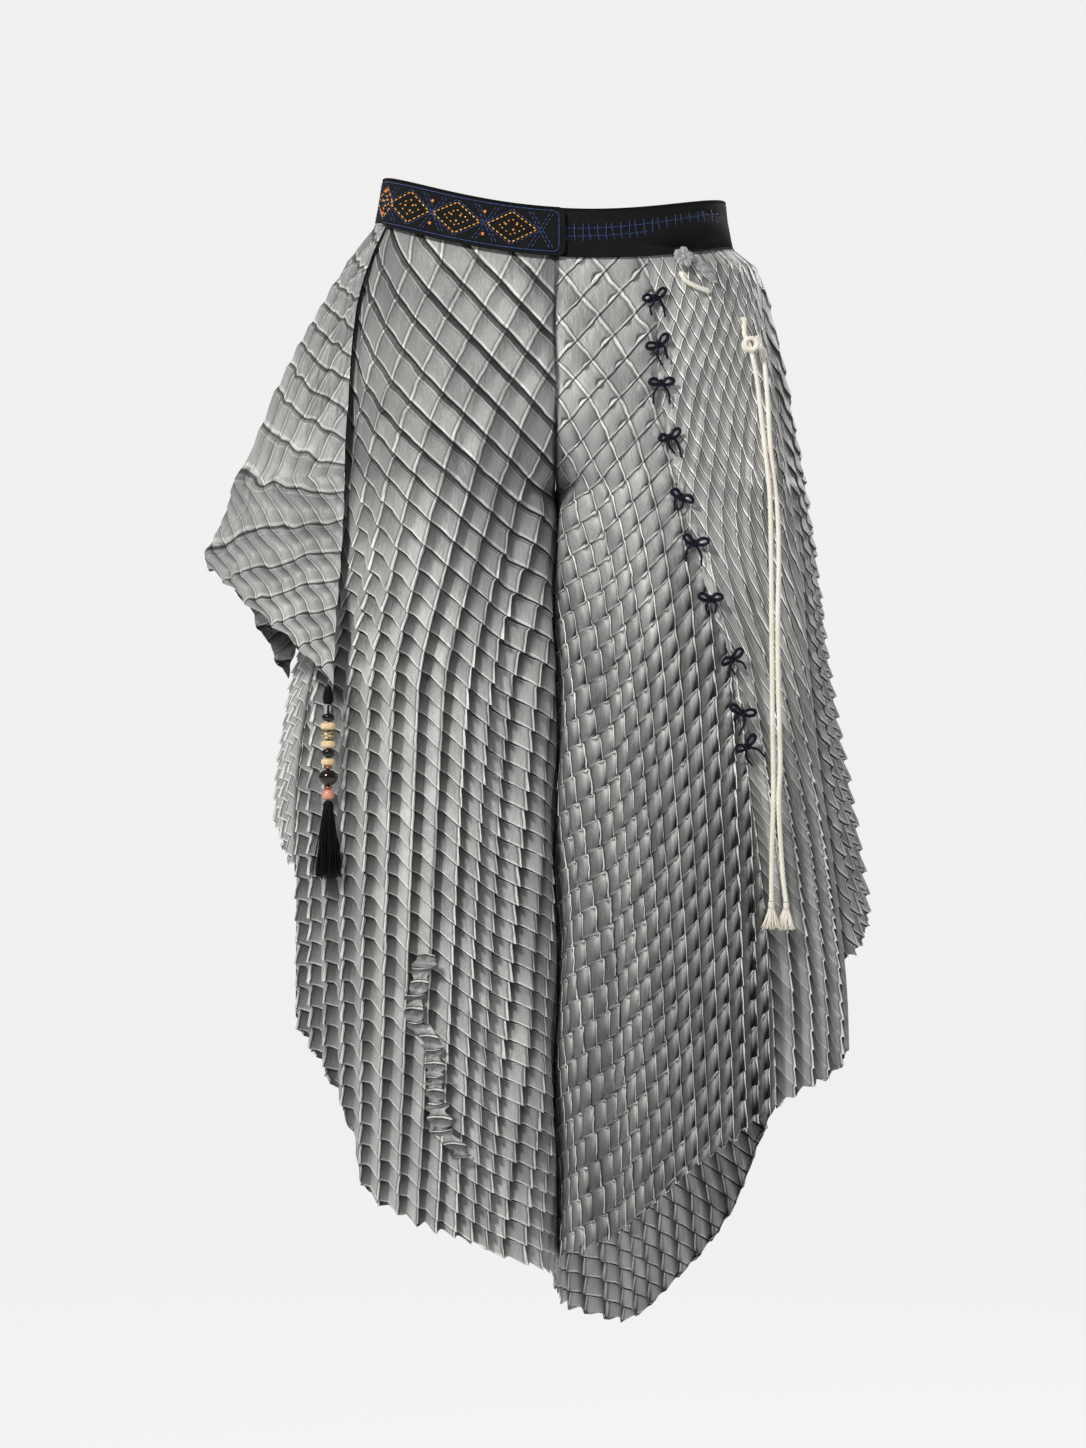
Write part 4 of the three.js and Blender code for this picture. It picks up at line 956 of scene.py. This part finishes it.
def glassy(name, dark, light, rough, scale=160, coat=0.0, metal=0.0, bump=0.0002, stretch=None):
    n = Nodes(name)
    marks = n.noise(n.place(), scale, 4, 0.6, stretch)
    n.set(Base_Color=n.ramp(marks, [(0.35, dark), (0.65, light)]), Metallic=metal,
          Roughness=n.span(marks, rough, rough + 0.15), Coat_Weight=coat, Coat_Roughness=0.08)
    n.bump([(marks, bump, 0.5)])
    return n.material


BLACK_CLOTH = black_cloth()
NAVY = thread("navy_thread", (0.012, 0.025, 0.09), (0.035, 0.07, 0.22))
GOLD = glassy("gold_bead", (0.55, 0.2, 0.03), (0.85, 0.45, 0.09), 0.25, scale=900, coat=0.6)
CORAL_SPOT = glassy("coral_spot", (0.6, 0.14, 0.03), (0.85, 0.3, 0.08), 0.3, scale=500, coat=0.5)
RIBBON = thread("ribbon", (0.0015, 0.0025, 0.008), (0.005, 0.008, 0.022), 0.5, 0.03)
BLACK_THREAD = thread("black_thread", (0.001, 0.001, 0.001), (0.004, 0.004, 0.0045), 0.6, 0.02)


def lap_of(share):
    return BAND_LAP * smooth(BAND_SIDE - share, 0, 0.2)


def band_face(leg, share, height, lift, lapped):
    """A point on the waistband: a height over its middle line and so far out of its face."""
    share, height, lift = np.broadcast_arrays(*(np.asarray(v, float) for v in (share, height, lift)))
    z = band_middle(leg, np.maximum(0, share)) + height
    step = ring_point(leg, share + 1e-3, z) - ring_point(leg, share - 1e-3, z)
    outward = unit(np.stack([step[..., 1], -step[..., 0], 0 * z], -1)) * leg.side
    out = BAND_WALL + lift + (lap_of(share) if lapped else 0)
    return ring_point(leg, share, z) + outward * out[..., None]


def band(name, leg, low, high, tab=False):
    """One stretch of the waistband. The over-tab is thicker, and its free end is rounded."""
    columns = 150
    share = low + (high - low) * np.linspace(0, 1, columns) ** (1.6 if tab else 1)
    flat = HALF_BAND - BAND_CORNER
    turn = np.linspace(0, math.pi / 2, 5)
    section = []
    for sign_h, sign_o in ((1, 1), (1, -1), (-1, -1), (-1, 1)):
        for t in turn if sign_h * sign_o < 0 else turn[::-1]:
            height = sign_h * (flat + BAND_CORNER * math.sin(t))
            thick = BAND_WALL / 2 - BAND_CORNER + BAND_CORNER * math.cos(t)
            section.append((height, -BAND_WALL / 2 + sign_o * thick))
    section += [(height, 0) for height in np.linspace(-1, 1, 14)[1:-1] * flat]
    height, out = np.array(section).T[:, None]
    reach = 1
    if tab:
        travel = np.clip((share[:, None] - low) * HALF_WAIST / 6, 0, 1)
        reach = 1 - 0.28 * (1 - np.sqrt(1 - (1 - travel) ** 2))
    puff = 0.25 * WANDER(share[:, None] * 60 + 7, height / 9 + 40) * (out > -0.01)
    shape = Shape()
    shape.grid(band_face(leg, share[:, None], height * reach, out + puff, tab), closed=True)
    shape.cap(columns, len(section))
    shape.make("band_" + name, BLACK_CLOTH, "black_cloth", ("waistband_" + name,))


def share_at(leg, x, lapped):
    """The share of the way round where the band's face has this x."""
    share = np.linspace(-0.02, BAND_SIDE, 900)
    x_there = leg.side * band_face(leg, share, 0, 0, lapped)[:, 0]
    return np.interp(leg.side * np.asarray(x, float), x_there, share)


def stitch(shape, leg, lapped, places, radius=0.42, slot=0, lift=0.15):
    """A short raised stitch over two or more (x, height) places on the band."""
    places = np.array(places, float)
    curve, _ = spline(np.column_stack([places, 0 * places[:, 0]]), 7)
    rise = lift + 0.35 * np.sin(np.linspace(0.15, math.pi - 0.15, 7))
    shape.tube(band_face(leg, share_at(leg, curve[:, 0], lapped), curve[:, 1], rise, lapped),
               radius * np.array([0.7, 1, 1, 1, 1, 1, 0.7]), 6, slot=slot)


def dashes(shape, leg, lapped, start, end, length, gap, radius=0.42, slot=0):
    start, end = np.array(start, float), np.array(end, float)
    whole = np.linalg.norm(end - start)
    count = max(1, int(whole / (length + gap)))
    for k in range(count):
        a = (k + 0.08) / count
        b = (k + length / (length + gap)) / count
        stitch(shape, leg, lapped, [start + (end - start) * a, start + (end - start) * b], radius, slot)


def embroidery():
    """Traditional beaded diamonds on the over-tab and a ladder stitch on the other front."""
    blue, gold, coral = 0, 1, 2
    tab, ladder = Shape(), Shape()
    on_tab, on_left = (tab, right, True), (ladder, left, False)
    border = [(x, 17.4) for x in np.arange(-150, -2, 3)] + [(0.2, 16.6), (2, 14.6), (2.6, 12)]
    border += [(2.6, h) for h in np.arange(9, -12, -3)] + [(2, -14.6), (0.2, -16.6)]
    border += [(x, -17.4) for x in np.arange(-2, -151, -3)]
    for k in range(0, len(border) - 2, 2):
        stitch(*on_tab, border[k:k + 3], 0.45, blue)
    random = np.random.RandomState(4)
    for x, wide in ((-146.5, 7), (-125, 17), (-84.6, 20), (-37.2, 21)):
        corners = [(x, 13), (x + wide, 0), (x, -13), (x - wide, 0)]
        for ends in zip(corners, corners[1:] + corners[:1]):
            for size, length, gap, radius, colour in (
                    (1.17, 3.2, 0.8, 0.4, blue), (1, 2.4, 1.3, 0.6, gold), (0.52, 1.3, 2.6, 0.65, gold)):
                line = [(x + (px - x) * size, py * size) for px, py in ends]
                dashes(*on_tab, *line, length, gap, radius, colour)
        for dx, dy in ((-0.22, 0.1), (0.2, 0.16), (0.05, -0.2)):
            px, py = x + dx * wide + random.uniform(-0.6, 0.6), dy * 13 + random.uniform(-0.6, 0.6)
            stitch(*on_tab, [(px - 0.6, py), (px + 0.6, py)], 0.95, gold, 0.4)
    for x in (-147, -105.5, -60.6, -14):
        for way in (1, -1):
            for start, end, radius in ((-9, 9, 0.42), (-6, 12, 0.4)):
                dashes(*on_tab, (x + start, 15.2 * way), (x + end, -15.2 * way), 3.2, 0.8, radius, blue)
            if x < -20:
                stitch(*on_tab, [(x - 0.9, 9.5 * way), (x + 0.9, 9.5 * way)], 1.5, coral, 0.5)
    tab.make("tab_embroidery", (NAVY, GOLD, CORAL_SPOT), "ribbon")

    def rung(x, height):
        return x, height + 6 * (x / 150) ** 1.3

    for height in (3.4, -3.2):
        for x in np.arange(5, 141, 4.4):
            stitch(*on_left, [rung(x, height), rung(x + 3.6, height)], 0.42)
    for k, x in enumerate(np.arange(9, 141, 6.6)):
        lower, upper = rung(x, -7.5), rung(x, 7.5)
        stitch(*on_left, [lower, (x + 1.2 * (k % 3 - 1), upper[1])], 0.38, lift=0.45)
    ladder.make("ladder_stitch", NAVY, "ribbon")


band("right_front", right, -LAP_SHARE, BAND_SIDE - BAND_GAP, tab=True)
band("left_front", left, BAND_GAP, BAND_SIDE - BAND_GAP)
band("right_back", right, BAND_SIDE + BAND_GAP, 1 - BAND_GAP)
band("left_back", left, BAND_SIDE + BAND_GAP, 1 - BAND_GAP)
embroidery()


# The hip flap: across runs 0 at its open edge, 1 at the outer fold, 2 at the leg
def flap_point(across, z):
    across, z = np.broadcast_arrays(np.asarray(across, float), np.asarray(z, float))
    edge, fold, rear = (np.stack([FLAP_ROWS.read(line + axis, z) for axis in ("_x", "_y")], -1)
                        for line in ("edge", "fold", "back"))
    room = np.clip((np.linalg.norm(fold - edge, axis=-1) - 20) / 45, 0, 1)[..., None]
    outward = unit(np.stack([fold[..., 1] - edge[..., 1], edge[..., 0] - fold[..., 0]], -1))
    aside = np.array([7.0, 0.0]) * room
    path = [edge, (edge + fold) / 2 + outward * 9 * room, fold + outward * 7 * room - aside, fold,
            fold - outward * 7 * room - aside, fold * 0.45 + rear * 0.55 - outward * 4 * room, rear]
    path, stops = np.stack(path, -1), (0, 0.5, 0.92, 1, 1.08, 1.5, 2)
    x, y = (curve_at(stops, path[..., k, :], across) for k in range(2))
    return np.stack([-x, y, z], -1)


def flap_normal(across, z):
    low, high = np.maximum(0, across - 0.02), np.minimum(2, across + 0.02)
    along = flap_point(high, z) - flap_point(low, z)
    return unit(np.stack([along[..., 1], -along[..., 0], 0 * z], -1))


def flap():
    across = np.concatenate([np.linspace(0, 0.9, 110), np.linspace(0.9, 1.1, 31)[1:],
                             np.linspace(1.1, 2, 91)[1:]])[None, :]
    down = np.linspace(0, 1, 300)[:, None]
    hem = FLAP_HEM.read("z", across)
    top = band_middle(right, 0.368 + 0.09 * across) - HALF_BAND + 2.5
    z = top + (hem - top) * down
    across = np.broadcast_to(across, z.shape)
    base, normal = flap_point(across, z), flap_normal(across, z)
    run = run_along(base[..., :2])
    wander = 0.12 * WANDER(across * 9, z / 40)
    low = smooth(-z, 150, 250)
    bent = np.where(z > -205, 0.032 * (z + 205), -0.045 * (z + 205))
    steep = bent + 0.056 * run + wander
    shallow = 0.041 * z + run * (0.007 - 0.035 * smooth(z, -290, -90)) + wander
    wave = shallow - np.floor(shallow)
    roll = np.where(wave < 0.72, np.sin(wave / 0.72 * math.pi),
                    -0.55 * np.sin((wave - 0.72) / 0.28 * math.pi))
    net = 1.8 * creased(steep, 0.25) + 2.2 * creased(shallow, 0.25) - 1.8
    out = net * (1 - low) + (4 * roll + 1.6 * creased(steep, 0.3) - 1.6) * low
    near = np.minimum(across / 0.1, (2 - across) / 0.12)
    fade = np.clip(0.35 + near, 0, 1) * smooth(top - z, 2, 30)
    out = out * fade + 0.5 * WANDER(across * 33, z / 13) * fade
    teeth = 2.8 * (np.abs((steep + 0.5) % 1 - 0.5) * 2 - 0.5) * smooth(down, 0.9, 1)
    points = base + normal * out[..., None] + np.stack([0 * z, 0 * z, teeth], -1)
    shape = Shape()
    shape.grid(points)
    shape.pleats = np.stack([steep, shallow], -1)
    piece = shape.make("flap", PLAIN_SILK, "taffeta", ("hip_flap",), angle=35)


flap()


def ruffle():
    """The gathered tuck low on the right front."""
    z = np.linspace(-608, -776, 200)[None, :]
    j = np.linspace(0, 1, 12)[:, None]
    phase = np.linspace(0, 15 * math.pi, 200)[None, :]
    ragged = 1 + 0.4 * WANDER(phase * 0.9, j * 0 + 9)
    at = RUFFLE_ROWS.read("at", z) + (0.5 - j) * 14 * ragged / speed(right, 0.22 + 0 * z, z)
    wave = np.sin(phase + 0.9 * j + 1.6 * WANDER(phase * 0.4, j * 0 + 3))
    out = PLEAT_DEPTH.read("depth", z) + 3.6 + 3 * wave * (0.3 + 0.9 * np.abs(2 * j - 1))
    out = out + 1.4 * WANDER(phase * 1.7, j * 4) - 2.6 * (1 - j) ** 2
    z = z + 2.2 * np.cos(phase + 2 * j) * j
    points = out_of(right, at, z, out)
    shape = Shape()
    shape.grid(points)
    shape.pleats = np.stack([phase / TURN * 2 + 0 * j, 0.5 + 0.3 * j + 0 * phase], -1)
    piece = shape.make("front_right_tuck", SOFT, "taffeta", ("right_front_ruffle",), angle=35)


ruffle()


def seat_frame(leg, at, z, out, turn):
    """A place on a leg and its directions: level, up and outward, turned about the last."""
    at, z = np.float64(at), np.float64(z)
    normal = leg_normal(leg, at, z)
    level = unit(np.cross([0, 0, 1], normal))
    up = np.cross(normal, level)
    axes = np.array([level * math.cos(turn) + up * math.sin(turn),
                     up * math.cos(turn) - level * math.sin(turn), normal])
    return leg_point(leg, at, z) + normal * out, axes


def bow(index, z, turn):
    """A ribbon knot with two loops and two tails, on a stem that goes through the seam."""
    out = 2.6 + 0.5 * float(PLEAT_DEPTH.read("depth", z))
    origin, axes = seat_frame(left, laced(np.float64(z)), z, out, turn)
    random = np.random.RandomState(100 + index)
    shape = Shape()

    def ribbon(points, count):
        return spline(np.array(points) @ axes + origin, count)[0]

    for side in (-1, 1):
        big, tip = random.uniform(0.85, 1.12), random.uniform(-1.6, 2.6)
        loop = [(0, 0, 1.4), (side * 5 * big, 4 + 0.4 * tip, 2.6), (side * 9.6 * big, 3.6 + tip, 3),
                (side * 10.6 * big, 0.8 + tip, 2.6), (side * 6.2 * big, -1 + 0.3 * tip, 1.9),
                (0, -0.4, 1.4)]
        shape.tube(ribbon(loop, 30), 1.45 + 0.15 * np.sin(np.linspace(0, 9, 30) + index), 8)
        lean, long = random.uniform(-5, 5), random.uniform(12, 19)
        tail = [(0, 0, 1.6), (side * 3.2, -3.4, 2.2), (side * 5 + 0.5 * lean, -0.5 * long, 1.4),
                (side * 4 + lean, -long, 0.9)]
        shape.tube(ribbon(tail, 18), np.linspace(1.35, 0.8, 18), 8)
    shape.ball(origin + axes[2] * 1.9, (3.1, 2.5, 2.1), axes)
    wrap = [(1.8 * math.cos(t), 2.6 * math.sin(t), 2.3 + 1.7 * abs(math.cos(t)))
            for t in np.linspace(0, TURN, 16)]
    shape.tube(np.array(wrap) @ axes + origin, 0.9, 6, caps=False)
    shape.tube([origin + axes[2] * 2, origin, origin - axes[2] * (out - 0.7)], 1.4, 8)
    name = "bow_%02d" % index
    shape.make("ribbon_" + name, RIBBON, "ribbon", (name,))


for k, (height, turned) in enumerate(BOWS):
    bow(k + 1, height, turned)


def pale_cloth():
    n = Nodes("pale_cloth")
    crepe = n.noise(n.place(), 420, 4, 0.6)
    n.set(Base_Color=n.ramp(crepe, [(0.35, 0.3), (0.65, 0.45)]), Roughness=0.55, Sheen_Weight=0.3,
          Sheen_Roughness=0.4)
    n.bump([(crepe, 0.0006, 0.7)])
    return n.material


PALE = pale_cloth()


def rosette():
    """Five cupped petals about a button, and the crepe leaf that hangs beside them."""
    origin, axes = seat_frame(left, 0.272, -21, 4.1, 0.2)
    shape = Shape()
    u = np.linspace(-1, 1, 17)[None, :]
    v = np.linspace(0, 1, 12)[:, None]
    along, wide = v * 9.2, u * 4.3 * np.sin(math.pi * (0.12 + 0.74 * v)) ** 0.8
    cup = 1.2 + 2.4 * np.sin(math.pi * v * 0.8) * (1 - 0.5 * u**2)
    for k in range(5):
        cos, sin = math.cos(TURN * k / 5), math.sin(TURN * k / 5)
        lift = cup + 0.5 * np.sin(u * 7 + k) * v
        local = np.stack([along * cos - wide * sin, along * sin + wide * cos, lift], -1)
        shape.grid(local @ axes + origin)
    shape.ball(origin + axes[2] * 2.6, (2.6, 2.6, 1.6), axes, 14)
    shape.tube([origin - axes[2] * 0.9, origin + axes[2] * 1.6], 5.2, 20)
    shape.make("cloth_rosette", PALE, "taffeta", ("rosette",), angle=50)
    u = np.linspace(-0.5, 0.5, 26)[None, :]
    v = np.linspace(0, 1, 40)[:, None]
    wide = 0.024 * np.sqrt(np.maximum(0.12, np.sin(math.pi * (0.12 + 0.8 * v))))
    at, z = 0.292 + 0.026 * v + wide * u, -18 - 23 * v + 0 * u
    out = 2.3 + 0.7 * np.sin(v * 26 + 3 * u) * 0.6 + 0.5 * WANDER(u * 9, v * 9) + 0.8 * (1 - (2 * u) ** 2)
    leaf = Shape()
    leaf.grid(out_of(left, at, z, out))
    piece = leaf.make("cloth_leaf", PALE, "taffeta", ("rosette_leaf",), angle=50)


rosette()


# The beaded tassel under the flap's front corner
BEADS = [
    ("black_disc", 5.2, 6.6, "jet"), ("cream_upper", 6.6, 6.8, "bone"), ("brass_ring", 6.6, 7.6, "brass"),
    ("cream_middle", 6.4, 6.6, "bone"), ("black_barrel", 5.1, 7.4, "jet"), ("cream_lower", 6, 6.4, "bone"),
    ("copper_upper", 3.4, 2.4, "copper"), ("agate_ball", 8.1, 13.4, "agate"),
    ("copper_lower", 3.2, 2.4, "copper"), ("coral", 5.3, 8.6, "coral")]
BEAD_FINISH = {
    "jet": (glassy("jet", (0.001,) * 3, (0.004,) * 3, 0.2, coat=0.2), "black_bead"),
    "bone": (glassy("bone", (0.68, 0.47, 0.25), (0.86, 0.69, 0.44), 0.35, scale=320, coat=0.2,
                    stretch=(1, 1, 0.35)), "cream_bead"),
    "brass": (glassy("brass", (0.22, 0.16, 0.08), (0.78, 0.68, 0.48), 0.28, scale=600, metal=1,
                     bump=0.0006), "metal_bead"),
    "copper": (glassy("copper", (0.3, 0.1, 0.04), (0.6, 0.27, 0.13), 0.3, scale=600, metal=1),
               "metal_bead"),
    "agate": (glassy("agate", (0.002, 0.0015, 0.001), (0.012, 0.005, 0.003), 0.12, scale=140,
                     coat=0.35, bump=0.00005, stretch=(0.4, 0.4, 2.4)), "agate_bead"),
    "coral": (glassy("coral", (0.55, 0.2, 0.13), (0.75, 0.36, 0.26), 0.35, scale=260, coat=0.2),
              "coral_bead"),
}
BEAD_GAP, BEAD_BORE = 0.4, 1.3


def bead_outline(radius, half, kind):
    """Half of a bead cut through its middle, with its bore: a ball for agate, a drum otherwise."""
    turn = np.linspace(-1, 1, 15)
    if kind == "agate":
        profile = np.sqrt(np.maximum(0, 1 - (turn * 0.98) ** 2))
    else:
        profile = np.maximum(0, 1 - np.abs(turn) ** 3.2) ** 0.42
    if kind == "brass":
        profile = profile * (0.93 + 0.07 * np.cos(turn * 9))
    side = [(max(BEAD_BORE + 0.3, radius * p), half * t) for t, p in zip(turn, profile)]
    return [(BEAD_BORE, -half), *side, (BEAD_BORE, half), (BEAD_BORE, -half)]


def tassel():
    hem = np.float64(-383)
    x, y, _ = flap_point(np.float64(0.04), hem) + flap_normal(np.float64(0), hem) * 1.7
    top = hem - BEAD_GAP
    knot = Shape()
    knot.lathe([(0.05, 0), (1.6, -1), (2.4, -3), (2.9, -5), (3.7, -8), (4.2, -12), (4, -14.5),
                (3, -16.4), (0.05, -17)], (x, y, top), 24)
    for k in range(9):
        down = 3 + 1.5 * k
        radius = np.interp(down, [3, 5, 8, 12, 15], [2.5, 3, 3.8, 4.3, 3.9])
        knot.tube(hoop(x, y, top - down, radius, 22, 0.5, k), 0.6, 6, caps=False)
    knot.make("tassel_binding", BLACK_THREAD, "black_thread", ("tassel_knot",))
    thread_top = top - 17 - BEAD_GAP
    z = thread_top - 7
    for name, radius, height, kind in BEADS:
        bead = Shape()
        bead.lathe(bead_outline(radius, height / 2, kind), (x, y, z - height / 2), 36)
        finish, slot_name = BEAD_FINISH[kind]
        bead.make("round_" + name, finish, slot_name, ("bead_" + name,), angle=50)
        z -= height + BEAD_GAP
    cord = Shape()
    path = [(x, y, h) for h in np.linspace(thread_top, z, 60)]
    cord.tube(path, 0.95, 10, lobes=2, pitch=3)
    cord.make("bead_thread", BLACK_THREAD, "black_thread", ("tassel_thread",))
    fringe = Shape()
    random = np.random.RandomState(5)
    head = np.array([x, y, z - BEAD_GAP])
    fringe.lathe([(0.05, 0), (2.9, -0.3), (3.5, -1.5), (4.4, -5), (4.6, -7), (3, -7.6)], head, 26)
    for k in range(4):
        fringe.tube(hoop(x, y, head[2] - 2.6 - 0.9 * k, 4.15, 24), 0.5, 6, caps=False)
    for k in range(230):
        angle, reach = random.uniform(0, TURN), math.sqrt(random.uniform(0, 1))
        side = np.array([math.cos(angle), math.sin(angle), 0])
        long = random.uniform(56, 66)
        flare = random.uniform(1.5, 2.7)
        bend = np.array([random.normal(), random.normal(), 0]) * 1.1
        start = head + side * 4.0 * reach + (0, 0, -5.5)
        yarn(fringe, start, side * reach * flare, bend, (1.4, 2.6, 3),
             (0.35 * long, 0.7 * long, long - 5.5), np.linspace(0.42, 0.3, 10), 4)
    fringe.make("tassel_strands", BLACK_THREAD, "black_thread", ("tassel_fringe",))


tassel()


def finish():
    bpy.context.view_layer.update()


finish()
